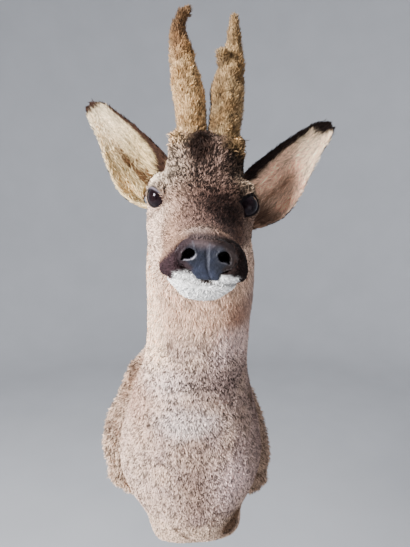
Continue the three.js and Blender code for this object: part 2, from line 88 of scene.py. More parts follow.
def bump(points, centre, radius):
    """A round hill of height 1 at centre, falling off smoothly over radius."""
    return np.exp(-((np.asarray(points) - np.asarray(centre)) ** 2 / np.square(radius)).sum(-1))


def lattice_value(cell, seed):
    """A repeatable random number from 0 to 1 for each whole-number cell."""
    mixed = cell[..., 0] * 374761393 + cell[..., 1] * 668265263 + cell[..., 2] * 2147483647 + seed * 974711
    mixed = (mixed ^ (mixed >> 13)) * 1274126177
    mixed = mixed ^ (mixed >> 16)
    return (mixed & 0xFFFFFF) / 0xFFFFFF


def noise(points, size, seed=0):
    """Smooth value noise from 0 to 1, with features of that size in metres."""
    scaled = np.asarray(points, float) / size + 1000
    cell = np.floor(scaled).astype(np.int64)
    t = scaled - cell
    t = t * t * (3 - 2 * t)
    total = np.zeros(len(scaled))
    for corner in range(8):
        step = np.array([corner & 1, corner >> 1 & 1, corner >> 2 & 1])
        weight = np.where(step, t, 1 - t).prod(-1)
        total += weight * lattice_value(cell + step, seed)
    return total


def layered_noise(points, size, seed=0, octaves=3):
    total = sum(noise(points, size / 2**k, seed + k) / 2**k for k in range(octaves))
    return total / sum(1 / 2**k for k in range(octaves))


def mix(a, b, t):
    t = np.asarray(t)[..., None]
    return np.asarray(a) * (1 - t) + np.asarray(b) * t


def srgb(r, g, b):
    """A colour given in display values, 0 to 255, as linear light."""
    c = np.array([r, g, b]) / 255
    return np.where(c <= 0.04045, c / 12.92, ((c + 0.055) / 1.055) ** 2.4)


# ---- the head's frame ----

HEAD_TURN = (
    Matrix.Rotation(HEAD_YAW, 3, "Z") @ Matrix.Rotation(HEAD_PITCH, 3, "X") @ Matrix.Rotation(HEAD_ROLL, 3, "Y")
)
HEAD_AXES = np.array(HEAD_TURN)
HEAD_ORIGIN = np.array(NOSE) - HEAD_AXES @ np.array([0, 0, NOSE_HEIGHT * MM])


def to_head(points):
    return (np.asarray(points) - HEAD_ORIGIN) @ HEAD_AXES / MM


def from_head(points):
    return np.asarray(points, float) * MM @ HEAD_AXES.T + HEAD_ORIGIN


def head_direction(vectors):
    return np.asarray(vectors, float) @ HEAD_AXES.T


# ---- mesh helpers ----


def read_mesh(mesh):
    """Vertex places, vertex normals and triangles of a mesh, as arrays."""
    co = np.zeros(len(mesh.vertices) * 3, np.float32)
    mesh.vertices.foreach_get("co", co)
    normals = np.zeros(len(mesh.vertices) * 3, np.float32)
    mesh.vertex_normals.foreach_get("vector", normals)
    mesh.calc_loop_triangles()
    triangles = np.zeros(len(mesh.loop_triangles) * 3, np.int32)
    mesh.loop_triangles.foreach_get("vertices", triangles)
    return co.reshape(-1, 3).astype(float), normals.reshape(-1, 3).astype(float), triangles.reshape(-1, 3)


def read_edges(mesh):
    edges = np.zeros(len(mesh.edges) * 2, np.int32)
    mesh.edges.foreach_get("vertices", edges)
    return edges.reshape(-1, 2)


def write_places(mesh, co):
    mesh.vertices.foreach_set("co", np.asarray(co, np.float32).ravel())
    mesh.update()


def make_object(name, mesh, material=None):
    obj = bpy.data.objects.new(name, mesh)
    bpy.context.scene.collection.objects.link(obj)
    if material:
        mesh.materials.clear()
        mesh.materials.append(material)
    return obj


def make_mesh(name, vertices, faces):
    """A mesh from an array of vertices and one array of faces that all have the same number of corners."""
    mesh = bpy.data.meshes.new(name)
    faces = np.asarray(faces, np.int32)
    corners = faces.shape[1]
    mesh.vertices.add(len(vertices))
    mesh.vertices.foreach_set("co", np.asarray(vertices, np.float32).ravel())
    mesh.loops.add(faces.size)
    mesh.loops.foreach_set("vertex_index", faces.ravel())
    mesh.polygons.add(len(faces))
    mesh.polygons.foreach_set("loop_start", np.arange(0, faces.size, corners, dtype=np.int32))
    mesh.update(calc_edges=True)
    mesh.polygons.foreach_set("use_smooth", np.ones(len(faces), bool))
    return mesh


def paint(mesh, colours):
    """Stores one linear colour per vertex, which the materials read as Coat."""
    layer = mesh.color_attributes.get("Coat") or mesh.color_attributes.new("Coat", "FLOAT_COLOR", "POINT")
    rgba = np.ones((len(colours), 4), np.float32)
    rgba[:, :3] = colours
    layer.data.foreach_set("color", rgba.ravel())


def remeshed(name, co, triangles, voxel):
    """A closed mesh of even small faces over the union of the given solids."""
    obj = make_object(name, make_mesh(name, co, triangles))
    modifier = obj.modifiers.new("voxels", "REMESH")
    modifier.mode = "VOXEL"
    modifier.voxel_size = voxel
    bpy.context.view_layer.update()
    mesh = bpy.data.meshes.new_from_object(obj.evaluated_get(bpy.context.evaluated_depsgraph_get()))
    bpy.data.objects.remove(obj)
    return mesh


def relaxed(co, edges, rounds, weight=1.0, keep=0.52):
    """Smooths places along edges without shrinking the form; weight may differ from vertex to vertex."""
    count = len(co)
    degree = np.bincount(edges.ravel(), minlength=count)[:, None]
    weight = np.broadcast_to(np.asarray(weight, float), (count,))[:, None]
    co = co.copy()
    for _ in range(rounds):
        for share in (0.5, -keep):
            total = np.empty_like(co)
            for axis in range(3):
                total[:, axis] = np.bincount(edges[:, 0], co[edges[:, 1], axis], count)
                total[:, axis] += np.bincount(edges[:, 1], co[edges[:, 0], axis], count)
            co += share * weight * (total / np.maximum(degree, 1) - co)
    return co


def solid_arrays(name):
    """A node's solid as merged vertices and triangles; the node itself isn't touched."""
    co, _, triangles = read_mesh(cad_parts[name].data)
    _, first, inverse = np.unique(np.round(co * 1e6).astype(np.int64), axis=0, return_index=True, return_inverse=True)
    triangles = inverse.ravel()[triangles]
    distinct = (triangles[:, 0] != triangles[:, 1]) & (triangles[:, 1] != triangles[:, 2])
    distinct &= triangles[:, 0] != triangles[:, 2]
    return co[first], triangles[distinct]


def normals_of(co, triangles):
    """Area-weighted vertex normals."""
    a, b, c = (co[triangles[:, k]] for k in range(3))
    flat = np.cross(b - a, c - a)
    total = np.zeros_like(co)
    for k in range(3):
        for axis in range(3):
            total[:, axis] += np.bincount(triangles[:, k], flat[:, axis], len(co))
    return unit(total)


def joined(solids, grow=0.0):
    """Several solids as one set of arrays, each swollen by grow so that thin slits between them close."""
    places, faces, start = [], [], 0
    for co, triangles in solids:
        places.append(co + normals_of(co, triangles) * grow)
        faces.append(triangles + start)
        start += len(co)
    return np.concatenate(places), np.concatenate(faces)


def ball(centre, radius, rings=20, segments=32):
    """A closed round ball as arrays."""
    polar = np.linspace(0, math.pi, rings + 1)[1:-1]
    around = np.arange(segments) / segments * 2 * math.pi
    grid = np.stack(
        [np.outer(np.sin(polar), np.cos(around)), np.outer(np.sin(polar), np.sin(around)),
         np.outer(np.cos(polar), np.ones(segments))], -1).reshape(-1, 3)
    co = np.concatenate([[[0, 0, 1]], grid, [[0, 0, -1]]])
    faces = []
    last = len(co) - 1
    for i in range(segments):
        j = (i + 1) % segments
        faces.append((0, 1 + i, 1 + j))
        faces.append((last, last - segments + j, last - segments + i))
        for ring in range(rings - 2):
            a, b = 1 + ring * segments + i, 1 + ring * segments + j
            faces.append((a, a + segments, b + segments))
            faces.append((a, b + segments, b))
    return np.asarray(centre) + co * radius, np.array(faces)


# ---- the eyes' frames ----

EYE_RADIUS = 12.2
EYE_SLANT = math.radians(-14)
# Where each eye looks, and the half-angles of the almond between its lids: in front, behind, above and below.
GAZES = {-1: unit(np.array([-0.70, -0.71, -0.04])), 1: unit(np.array([0.48, -0.84, 0.24]))}
OPENINGS = {-1: (60, 46, 27, 43), 1: (74, 58, 38, 46)}


def eye_frame(side):
    """Centre of one eyeball and its axes in the head's frame: gaze, towards the front corner, and up."""
    centre = np.array([38.0 * side, 121.5, 46.0])
    gaze = GAZES[side]
    front = unit(np.array([0, -1.0, 0]) - gaze * -gaze[1])
    up = np.cross(front, gaze) * side
    up = up if up[2] > 0 else -up
    turned = front * math.cos(EYE_SLANT) + up * math.sin(EYE_SLANT)
    return centre, gaze, turned, unit(up * math.cos(EYE_SLANT) - front * math.sin(EYE_SLANT))


def eye_angles(h, side):
    """Distance from an eye's centre in mm, degrees off its gaze, and degrees past the edge of the lids' opening."""
    centre, gaze, front, up = eye_frame(side)
    away = h - centre
    distance = np.linalg.norm(away, axis=-1)
    off = np.degrees(np.arccos(np.clip(dot(away, gaze) / np.maximum(distance, 1e-6), -1, 1)))
    turn = np.arctan2(dot(away, up), dot(away, front))
    return distance, off, off - opening(turn, side)


def opening(turn, side):
    """Half-angle of the almond between the lids in the direction turn round the gaze."""
    before, behind, above, below = OPENINGS[side]
    length = np.where(np.cos(turn) > 0, before, behind)
    height = np.where(np.sin(turn) > 0, above, below)
    across, tall = np.abs(np.cos(turn)) / length, np.abs(np.sin(turn)) / height
    return (across**1.9 + tall**1.9) ** (-1 / 1.9)


# Each ring of a lid: degrees past the opening, and height over the eyeball in mm.
LID_RINGS = [(-4, -0.8), (-1, 0.1), (1.5, 0.95), (5, 1.5), (11, 1.8), (20, 1.7), (30, 1.1), (41, 0.1), (52, -1.4)]
LID_STEPS = 88


def lid_darkness(h, side):
    """1 on the dark bare skin of the lids, which is widest on the right eye's upper lid."""
    centre, gaze, front, up = eye_frame(side)
    distance, _, past = eye_angles(h, side)
    above = smoothstep(0.2, 0.8, dot(h - centre, up) / np.maximum(distance, 1e-6) + 0.1)
    width = 4 + (8 if side < 0 else 2) * above
    return smoothstep(width + 2, width - 1, past) * (distance < 20)


def lid_sheen(h, side):
    """1 on the painted highlight of the right eye's upper lid, a paler band on the wet skin."""
    centre, _, _, up = eye_frame(side)
    distance, _, past = eye_angles(h, side)
    above = smoothstep(0.1, 0.6, dot(h - centre, up) / np.maximum(distance, 1e-6))
    return above * np.exp(-(((past - 5) / 2.6) ** 2)) * (side < 0)


def lids(side):
    """The ring of both lids round one eyeball, in the head's frame, as arrays."""
    centre, gaze, front, up = eye_frame(side)
    turn = np.arange(LID_STEPS) / LID_STEPS * 2 * math.pi
    outward = np.outer(np.cos(turn), front) + np.outer(np.sin(turn), up)
    rings = []
    for past, height in LID_RINGS:
        angle = np.radians(opening(turn, side) + past)[:, None]
        upper = 0.9 * np.clip(np.sin(turn), 0, 1)[:, None] * (2 < past < 40)
        rings.append(centre + (EYE_RADIUS + height + upper) * (np.cos(angle) * gaze + np.sin(angle) * outward))
    faces = []
    for ring in range(len(LID_RINGS) - 1):
        for i in range(LID_STEPS):
            j = (i + 1) % LID_STEPS
            a, b, c, d = (ring * LID_STEPS + i, ring * LID_STEPS + j, (ring + 1) * LID_STEPS + j,
                          (ring + 1) * LID_STEPS + i)
            faces += [(a, b, c), (a, c, d)]
    co, faces = np.concatenate(rings), np.array(faces)
    if dot(normals_of(co, faces)[3 * LID_STEPS :5 * LID_STEPS], unit(co - centre)[3 * LID_STEPS : 5 * LID_STEPS]).mean() < 0:
        faces = faces[:, ::-1]
    return co, faces


# ---- the ears' frames ----

EAR_POSES = {
    "ear_left": {"foot": (54, -214, 297), "tip": (153, -193, 390), "facing": (0.2, -1, 0.25), "lower": 1},
    "ear_right": {"foot": (-45, -204, 317), "tip": (-122, -162, 412), "facing": (-0.35, -1, 0.1), "lower": -1},
}
EAR_HALF_WIDTH = 32


def ear_place(name, points, normals):
    """Share of an ear's length, share of its half width (positive on the lower edge), and how much it faces in."""
    pose = EAR_POSES[name]
    foot = np.array(pose["foot"], float)
    along = np.array(pose["tip"]) - foot
    length = np.linalg.norm(along)
    up = along / length
    across = unit(np.cross(up, pose["facing"]))
    back = np.cross(up, across)
    away = np.asarray(points) / MM - foot
    return away @ up / length, away @ across / EAR_HALF_WIDTH * pose["lower"], -(normals @ back), up, across, back


EAR_WIDTHS = ([-0.1, 0, 0.16, 0.36, 0.52, 0.68, 0.84, 0.95, 1], [0.5, 0.74, 0.95, 0.88, 0.74, 0.57, 0.42, 0.3, 0.14])
EAR_SKEWS = ([-0.1, 0, 0.16, 0.36, 0.52, 0.68, 0.84, 1], [0, 0.04, 0.07, 0.05, -0.03, -0.08, -0.09, 0])


# ---- markings, with painted light and shade ----

BUFF = srgb(206, 177, 156)
GREY_COAT = srgb(178, 153, 143)
DARK_HAIR = srgb(88, 66, 54)
FOREHEAD_LIT, FOREHEAD, FOREHEAD_SHADED = srgb(136, 116, 100), srgb(102, 82, 72), srgb(32, 22, 18)
CROWN_PATCH = srgb(34, 21, 15)
BROW_LIT, BROW_SHADED = srgb(255, 232, 204), srgb(206, 178, 148)
BRIDGE_HAIR_AND_SHADE = srgb(44, 29, 24)
MUZZLE = srgb(150, 118, 98)
CHEEK = srgb(210, 180, 158)
WING_LIT, WING_SHADED = srgb(46, 31, 35), srgb(28, 18, 16)
WHITE_HAIR = srgb(255, 253, 249)
THROAT = srgb(230, 190, 160)
COLLAR = srgb(206, 166, 116)
LID_SKIN = srgb(26, 22, 24)
HEM_BUFF = srgb(196, 168, 140)
TAB_BUFF = srgb(216, 186, 160)
# Painted light on the neck's lit left edge.
NECK_EDGE_LIGHT = srgb(255, 222, 190)
SHADED_FACE = srgb(80, 57, 48)


def near(h, centre, radii):
    return np.exp(-(((h - np.array(centre)) / np.array(radii)) ** 2).sum(-1))


def patch(h, centre, radii):
    """Like near, with a flat middle and a shorter fade."""
    return np.clip(1.9 * near(h, centre, radii) - 0.1, 0, 1)


# Dark marks of the coat on neck, trunk and hem, and painted shade in the hem's creases: place and radii in mm, and
# strength.
DARK_MARKS_AND_CREASE_SHADE = [
    ((-83, -19, 52), (8, 20, 12), 0.85), ((-104, -19, 22), (7, 20, 11), 0.75), ((-127, -20, -44), (7, 20, 12), 0.8),
    ((-110, -21, -133), (9, 20, 6), 0.75), ((82, -110, 42), (8, 26, 22), 0.85), ((114, -20, -148), (8, 20, 9), 0.8),
    ((92, -100, 6), (13, 30, 4), 0.6), ((-59, -142, 19), (2.6, 30, 7), 0.85), ((-31, -173, 137), (3, 30, 9), 0.8),
    ((-21, -178, 124), (2, 30, 6), 0.5), ((9, -180, 138), (1.8, 30, 9), 0.5), ((112, -20, -60), (5, 20, 14), 0.4),
]


def head_share(points):
    """1 on the head, 0 on the neck, along the plane behind the jaw."""
    along = (points / MM - [0, -212, 206]) @ [0, -0.857, 0.515]
    return smoothstep(-22, 22, along)


def rim_share(points):
    """How far out on the wall a point lies, as a share of the rim's outline there."""
    X, Z = points[:, 0] / MM, points[:, 2] / MM
    widest = -104 - 22 * X / 138
    bottom = -195 - 12 * X / 138
    above = Z > widest
    power = np.where(above, 1.65, 2.9)
    reach = np.where(above, 122 - widest, widest - bottom)
    return ((np.abs(X) / 138) ** power + (np.abs(Z - widest) / reach) ** power) ** (1 / power)


def hem_share(points):
    return smoothstep(0.76, 0.84, rim_share(points)) * smoothstep(-30, -23, points[:, 1] / MM)


def forehead_share(h):
    """1 on the coarse mixed hair between eyes and antlers, 0 on the rest of the head."""
    return smoothstep(58, 122, h[:, 1]) * smoothstep(40, 60, h[:, 2] + 0.1 * np.abs(h[:, 0]))


def corner_share(h):
    """1 on the dark bare skin before the left eye."""
    return patch(h, (32, 104, 49), (5, 11, 7))


def crown_share(h):
    """1 on the dark patch between the antlers' feet."""
    return patch(h, (-8, 140, 94), (10, 14, 15))


def markings(points, normals):
    """The coat's colour at each point, in linear light, without its speckle; it holds painted light and shade on the
    neck, chest, hem, face, brows and nose band.
    """
    h = to_head(points)
    x, s, z = h.T
    X, Z = points[:, 0] / MM, points[:, 2] / MM
    lump = layered_noise(points, 0.022, 11) - 0.5
    # Neck and trunk.
    body = mix(BUFF, GREY_COAT, smoothstep(-50, 60, 10 + 130 * lump + 0.35 * X))
    front = smoothstep(-0.1, 0.5, -normals[:, 1])
    throat = smoothstep(125, 175, Z + 30 * lump) * smoothstep(64, 34, np.abs(X - 4)) * front
    body = mix(body, THROAT, 0.85 * throat)
    # Painted light: the neck's left edge, turned to the key light, made paler.
    edge_lit = smoothstep(-28, -52, X + 20 * lump) * smoothstep(78, 120, Z) * smoothstep(0.5, 0.2, normals[:, 1])
    body = mix(body, NECK_EDGE_LIGHT, 0.85 * edge_lit)
    flush = np.exp(-((((X - 46) / 20) ** 2 + ((Z - 174) / 24) ** 2)))
    body = mix(body, srgb(146, 96, 78), 0.58 * flush)
    band = np.exp(-(((Z - 80 + 24 * lump) / 24) ** 2)) * smoothstep(-52, 12, X + 40 * lump) * front
    body = mix(body, srgb(110, 91, 87), 0.6 * band * (1 - 0.5 * smoothstep(34, 60, X)))
    # Painted light: a paler patch on the chest's left, the side lit by the key.
    painted_light_left = np.exp(-((((X + 34) / 24) ** 2 + ((Z - 76) / 22) ** 2))) * front
    body = mix(body, srgb(240, 218, 208), 0.66 * painted_light_left)
    # Painted light: a paler patch on the neck's right side.
    painted_light_neck_right = smoothstep(12, 36, X) * smoothstep(92, 122, Z) * smoothstep(172, 148, Z) * front
    body = mix(body, srgb(236, 208, 200), 0.58 * painted_light_neck_right)
    bib = np.exp(-((((X + 14) / 40) ** 2 + ((Z - 24 - 20 * lump) / 20) ** 2) ** 1.4))
    body = mix(body, srgb(230, 216, 210), 0.7 * bib)
    # Painted shade: a darker arc along a crease across the chest.
    crease = np.exp(-(((X + 4) / 20) ** 2)) * np.exp(-(((Z - 2 + 0.02 * (X + 4) ** 2) / 7) ** 2))
    body = mix(body, srgb(140, 112, 92), 0.5 * crease)
    body = mix(body, srgb(124, 98, 86), 0.68 * np.exp(-(((X + 2) / 22) ** 2 + ((Z + 66) / 66) ** 2)))
    flank = np.exp(-((((X - 52) / 24) ** 2 + ((Z + 62) / 38) ** 2)))
    body = mix(body, srgb(244, 214, 208), 0.8 * flank * front)
    left_edge = np.exp(-((((X + 84) / 34) ** 2 + ((Z - 36) / 34) ** 2)))
    body = mix(body, srgb(180, 140, 116), 0.6 * left_edge)
    # Painted shade: darker brown on the trunk's right side, turned away from the key light.
    away = smoothstep(68, 102, X) * smoothstep(140, 50, Z + 60 * lump)
    body = mix(body, srgb(120, 96, 88), 0.55 * away)
    tab = smoothstep(-106, -142, Z + 30 * lump) * (1 - 0.7 * smoothstep(60, 90, np.abs(X)))
    body = mix(body, TAB_BUFF, 0.7 * tab)
    # Painted shadow of the skin's curled fold at the lower right.
    fold = patch(points / MM, (53, -116, -150), (17, 34, 25))
    body = mix(body, srgb(84, 58, 38), 0.92 * np.clip(fold * (1.15 + 1.2 * lump), 0, 1))
    # Painted shadow in a slit of the skin low on the left.
    slit_shadow = np.exp(-((((X + 24) * 0.8 + (Z + 134) * 0.6) / 2.2) ** 2))
    slit_shadow *= smoothstep(-14, -4, (X + 24) * 0.6 - (Z + 134) * 0.8) * smoothstep(48, 34, (X + 24) * 0.6 - (Z + 134) * 0.8)
    body = mix(body, srgb(70, 46, 32), 0.85 * slit_shadow)
    body = mix(body, HEM_BUFF, 0.45 * hem_share(points))
    # Painted shade along the crease where the hem flares out from the body.
    hem_crease_shade = np.exp(-(((rim_share(points) - 0.79) / 0.022) ** 2)) * smoothstep(-0.25, 0.15, lump)
    hem_crease_shade *= smoothstep(-60, -30, points[:, 1] / MM) * smoothstep(-165, -140, Z)
    body = mix(body, srgb(96, 70, 52), 0.7 * hem_crease_shade)
    for place, radii, strength in DARK_MARKS_AND_CREASE_SHADE:
        body = mix(body, DARK_HAIR, strength * near(points / MM, place, radii))
    nape = smoothstep(0.0, 0.7, normals[:, 1]) * smoothstep(60, 150, Z)
    body = mix(body, srgb(140, 118, 102), 0.7 * nape)
    # Head.
    head = mix(MUZZLE, CHEEK, smoothstep(60, 100, s) * smoothstep(52, 30, z))
    # Painted light and shade across the forehead: paler on the animal's right, lit by the key, and darker on its left.
    forehead_lit_to_shaded = mix(FOREHEAD_LIT, FOREHEAD, smoothstep(-32, -4, x + 20 * lump))
    forehead_lit_to_shaded = mix(forehead_lit_to_shaded, FOREHEAD_SHADED, smoothstep(6, 30, x + 20 * lump))
    fore = forehead_share(h)[:, None]
    head = head * (1 - fore) + forehead_lit_to_shaded * fore
    head = mix(head, srgb(150, 126, 106), smoothstep(150, 185, s) * smoothstep(20, 50, z) * 0.7)
    # Painted shade, over darker hair, on the face's left side, away from the key light.
    shaded = smoothstep(-24, 6, x + 16 * lump) * smoothstep(10, 40, s) * smoothstep(150, 124, s) * smoothstep(4, 20, z)
    head = mix(head, SHADED_FACE, 0.9 * shaded * (1 - 0.7 * forehead_share(h)))
    top = smoothstep(30, 12, np.abs(x)) * smoothstep(14, 40, s) * smoothstep(20, 30, z) * (1 - forehead_share(h))
    head = mix(head, srgb(112, 88, 80), 0.65 * top)
    # Each side's pale brow and cheek, painted lighter and stronger on the animal's right, lit by the key, than on its
    # shaded left.
    for side in (-1, 1):
        brow = (BROW_LIT, 0.97, 11) if side < 0 else (BROW_SHADED, 0.9, 15)
        head = mix(head, brow[0], brow[1] * near(h, (45 * side, 129, 62), (brow[2], 16, brow[2])))
        head = mix(head, CHEEK, (0.6 if side < 0 else 0.2) * near(h, (48 * side, 108, 26), (14, 20, 11)))
        head = mix(head, srgb(70, 52, 44), 0.85 * near(h, (33 * side, 95, 44), (3, 8, 5)))
        head = mix(head, COLLAR, 0.9 * near(h, (34 * side, 153, 103), (14, 17, 10)))
    head = mix(head, LID_SKIN, 0.97 * corner_share(h))
    # Dark hair of the nose's bridge, with painted shade on its side away from the key light.
    head = mix(head, BRIDGE_HAIR_AND_SHADE, 0.9 * patch(h, (15, 72, 44), (16, 30, 15)))
    head = mix(head, BRIDGE_HAIR_AND_SHADE, 0.52 * near(h, (4, 90, 55), (16, 28, 16)))
    head = mix(head, CROWN_PATCH, 0.97 * np.clip(crown_share(h) * (1.2 + 1.4 * lump), 0, 1))
    under = smoothstep(4, -10, z) * smoothstep(150, 90, s)
    head = mix(head, THROAT, 0.8 * under)
    # The black band over the nose and down to the lips' corners, the white lips and the chin.
    edge = 6.5 + 9 * smoothstep(11, 27, np.abs(x)) + 4 * lump
    # The band's colour, painted lighter on its lit side and darker on its shaded side.
    wing = mix(WING_LIT, WING_SHADED, smoothstep(-24, 6, x))
    below = smoothstep(3, -2, z - np.where(x < 0, 24 + 1.14 * (x + 16), 40) + 5 * lump)
    head = mix(head, srgb(94, 70, 64), 0.75 * smoothstep(edge + 9, edge + 1, s) * smoothstep(-3, 2, z) * below)
    band = smoothstep(edge + 2, edge - 1.5, s) * smoothstep(-2.5, 0.0, z) * below
    head = head * (1 - 0.98 * band[:, None]) + wing * 0.98 * band[:, None]
    head = mix(head, srgb(186, 166, 156), 0.45 * near(h, (-6, 15, 32), (11, 10, 5)))
    head = mix(head, srgb(112, 94, 90), 0.75 * near(h, (-4, 5, 27.5), (9, 7, 3)))
    across = np.abs(x - 1.5)
    lips = smoothstep(2.5, 4.5, across) * smoothstep(22.5, 19, across) * smoothstep(7, 4.5, z + 3 * lump)
    lips *= smoothstep(-6, -3, z) * smoothstep(12, 8, s)
    head = mix(head, WHITE_HAIR, lips)
    chin = smoothstep(-1.0, -2.5, z) * smoothstep(40, 24, s + 0.3 * np.abs(x))
    head = mix(head, WHITE_HAIR, chin)
    line = np.exp(-(((z + 1.2) / 1.2) ** 2)) * smoothstep(24, 18, s) * smoothstep(-14, 0, x)
    head = mix(head, srgb(60, 54, 48), 0.8 * line)
    return mix(body, head, head_share(points))


def pepper(points):
    """How strongly dark and light hairs are mixed at each point, from 0 to 1."""
    h = to_head(points)
    x, s, z = h.T
    Z = points[:, 2] / MM
    body = 0.82 + 0.1 * np.exp(-(((Z - 82) / 28) ** 2)) - 0.4 * smoothstep(110, 165, Z)
    head = (0.72 + 0.22 * forehead_share(h)) * (1 - 0.75 * crown_share(h))
    head *= 1 - 0.85 * near(h, (-46, 127, 60), (15, 20, 15))
    head = head * smoothstep(8, 20, s) + 0.04
    lit = smoothstep(40, 66, points[:, 0] / MM)
    return np.clip(mix_numbers(body * (1 - 0.2 * lit), head, head_share(points)), 0, 0.94)


def speckle(points, size, seed):
    """Grains of the mixed coat: 0 for a dark grain and 1 for a light one, with soft edges."""
    grain = layered_noise(points * [1, 1, 0.72], size, seed, 2)
    return smoothstep(0.36, 0.62, grain)


def ear_markings(name, points, normals):
    v, w, inward, *_ = ear_place(name, points, normals)
    across = (w - np.interp(v, *EAR_SKEWS)) / np.interp(v, *EAR_WIDTHS)
    lump = layered_noise(points, 0.007, 5) - 0.5
    streak = layered_noise(np.stack([v * 0.02, across * 0.03, 0 * v], 1), 0.0035, 9) - 0.5
    if name == "ear_right":
        inner = mix(srgb(236, 208, 156), srgb(232, 210, 172), smoothstep(0.3, 0.8, v))
        brown = np.exp(-(((v - 0.24) / 0.26) ** 2 + ((across - 0.12 - 0.5 * (v - 0.25)) / 0.28) ** 2))
        inner = mix(inner, srgb(84, 54, 30), np.clip(0.85 * brown + 6.0 * streak * brown, 0, 0.96))
        rim = smoothstep(-0.76, -0.93, across + 0.15 * lump - 0.55 * smoothstep(0.3, 0.1, v)) * smoothstep(0.0, 0.1, v)
        tip = smoothstep(0.9, 0.96, v + 0.04 * np.abs(across) + 0.1 * lump)
        dark = srgb(58, 38, 28)
    else:
        # Painted light: the left ear's inner colour brightened by 1.4, where the ear lies turned from the key light.
        inner = 1.4 * mix(srgb(242, 204, 174), srgb(220, 196, 166), smoothstep(0.5, 0.66, v + 0.3 * lump + 0.08 * across))
        brown = np.exp(-(((v - 0.28) / 0.2) ** 2 + ((across - 0.35) / 0.3) ** 2))
        inner = mix(inner, srgb(140, 98, 74), np.clip(0.55 * brown + 2.6 * streak * brown, 0, 0.88))
        inner = mix(inner, srgb(84, 50, 36), 0.8 * smoothstep(0.24, 0.04, v + 0.1 * lump))
        rim = smoothstep(-0.6, -0.8, across + 0.25 * lump) * smoothstep(0.0, 0.15, v)
        tip = smoothstep(0.83, 0.9, v - 0.06 * across + 0.12 * lump)
        dark = srgb(36, 26, 23)
    inner = inner * (1 + 1.3 * streak)[:, None]
    inner = mix(inner, dark, np.maximum(rim, tip))
    edge = np.clip(smoothstep(0.62, 0.95, v) + smoothstep(0.75, 0.98, np.abs(across)), 0, 1)
    outer = mix(srgb(160, 134, 110), srgb(46, 36, 31), edge)
    return mix(outer, inner, smoothstep(-0.15, 0.15, inward))


# ---- skin ----


def coat_depth(points, normals):
    """How deep the coat lies over the skin, in mm."""
    h = to_head(points)
    x, s, z = h.T
    face = 0.3 + 1.7 * smoothstep(8, 40, s) + 2.6 * smoothstep(110, 150, s)
    face += 1.4 * smoothstep(56, 80, z) * smoothstep(90, 130, s)
    for side in (-1, 1):
        face = face * (1 - 0.6 * near(h, (44 * side, 118, 46), (14, 18, 16)))
    depth = mix_numbers(3.8, face, head_share(points))
    depth = mix_numbers(depth, 8.0, hem_share(points))
    rear = smoothstep(0.3, 0.65, normals[:, 1]) * smoothstep(-60, -25, points[:, 1] / MM)
    return depth * (1 - rear)


def mix_numbers(a, b, t):
    return a * (1 - t) + b * t


def sculpt_head(h, normals):
    """Pushes in mm along the normal that give the face its folds; h is in the head's frame."""
    x, s, z = h.T
    push = np.zeros(len(h))
    for side in (-1, 1):
        push += 2.2 * near(h, (46 * side, 124, 62), (12, 15, 6))
        push -= 2.6 * near(h, (41 * side, 98, 37), (5, 9, 4))
        push += 1.2 * near(h, (38 * side, 92, 44), (6, 12, 5))
        push -= 1.5 * near(h, (27 * side, 42, 22), (8, 18, 8))
        push += 1.0 * near(h, (24 * side, 8, 4), (7, 8, 5))
        push -= 1.6 * near(h, (23 * side, 6, 13), (4, 7, 3))
    mouth = np.exp(-(((z + 1.0) / 1.6) ** 2)) * smoothstep(58, 46, s)
    push -= 2.6 * mouth
    return push


solids = [solid_arrays(name) for name in FLESH_NODES]
solids += [ball(from_head(eye_frame(side)[0]), (EYE_RADIUS - 1.4) * MM) for side in (-1, 1)]
skin_mesh = remeshed("skin_blank", *joined(solids, 0.45 * MM), SKIN_VOXEL)


def largest_piece(co, edges, triangles):
    """Drops everything but the largest connected part."""
    label = np.arange(len(co))
    while True:
        low = np.minimum(label[edges[:, 0]], label[edges[:, 1]])
        fresh = label.copy()
        np.minimum.at(fresh, edges[:, 0], low)
        np.minimum.at(fresh, edges[:, 1], low)
        fresh = fresh[fresh]
        if (fresh == label).all():
            break
        label = fresh
    main = np.bincount(label).argmax()
    keep = label == main
    number = np.cumsum(keep) - 1
    kept_edges = edges[keep[edges[:, 0]]]
    kept_triangles = triangles[keep[triangles[:, 0]]]
    return co[keep], number[kept_edges], number[kept_triangles]


def arrays_of(mesh):
    co, _, triangles = read_mesh(mesh)
    return largest_piece(co, read_edges(mesh), triangles)


skin_co, skin_edges, skin_triangles = arrays_of(skin_mesh)
on_head = head_share(skin_co)
nose_zone = smoothstep(50, 15, to_head(skin_co)[:, 1]) * on_head
skin_co = relaxed(skin_co, skin_edges, 14, 1.0)
skin_co = relaxed(skin_co, skin_edges, 50, 1 - 0.75 * on_head - 0.25 * nose_zone)
rim_zone = smoothstep(0.5, 0.62, rim_share(skin_co)) * smoothstep(-75, -35, skin_co[:, 1] / MM) * (1 - on_head)
crease = rim_zone * smoothstep(-0.6, 0.2, -normals_of(skin_co, skin_triangles)[:, 1])
crease *= (0.25 + 0.75 * smoothstep(0, 60, skin_co[:, 0] / MM)) * smoothstep(-150, -115, skin_co[:, 2] / MM)
skin_co = relaxed(skin_co, skin_edges, 22, crease, keep=0)
skin_normals = normals_of(skin_co, skin_triangles)


def lobe_share(x, z):
    """1 over the nose pad's lower lobe, between the upper lips."""
    middle = 2.4 * smoothstep(12, 0, z)
    half = np.interp(z, [1, 3, 6, 9], [4.5, 7, 8.5, 10])
    return smoothstep(half + 1, half - 1, np.abs(x - middle)) * smoothstep(0.6, 1.8, z) * smoothstep(11, 9, z)


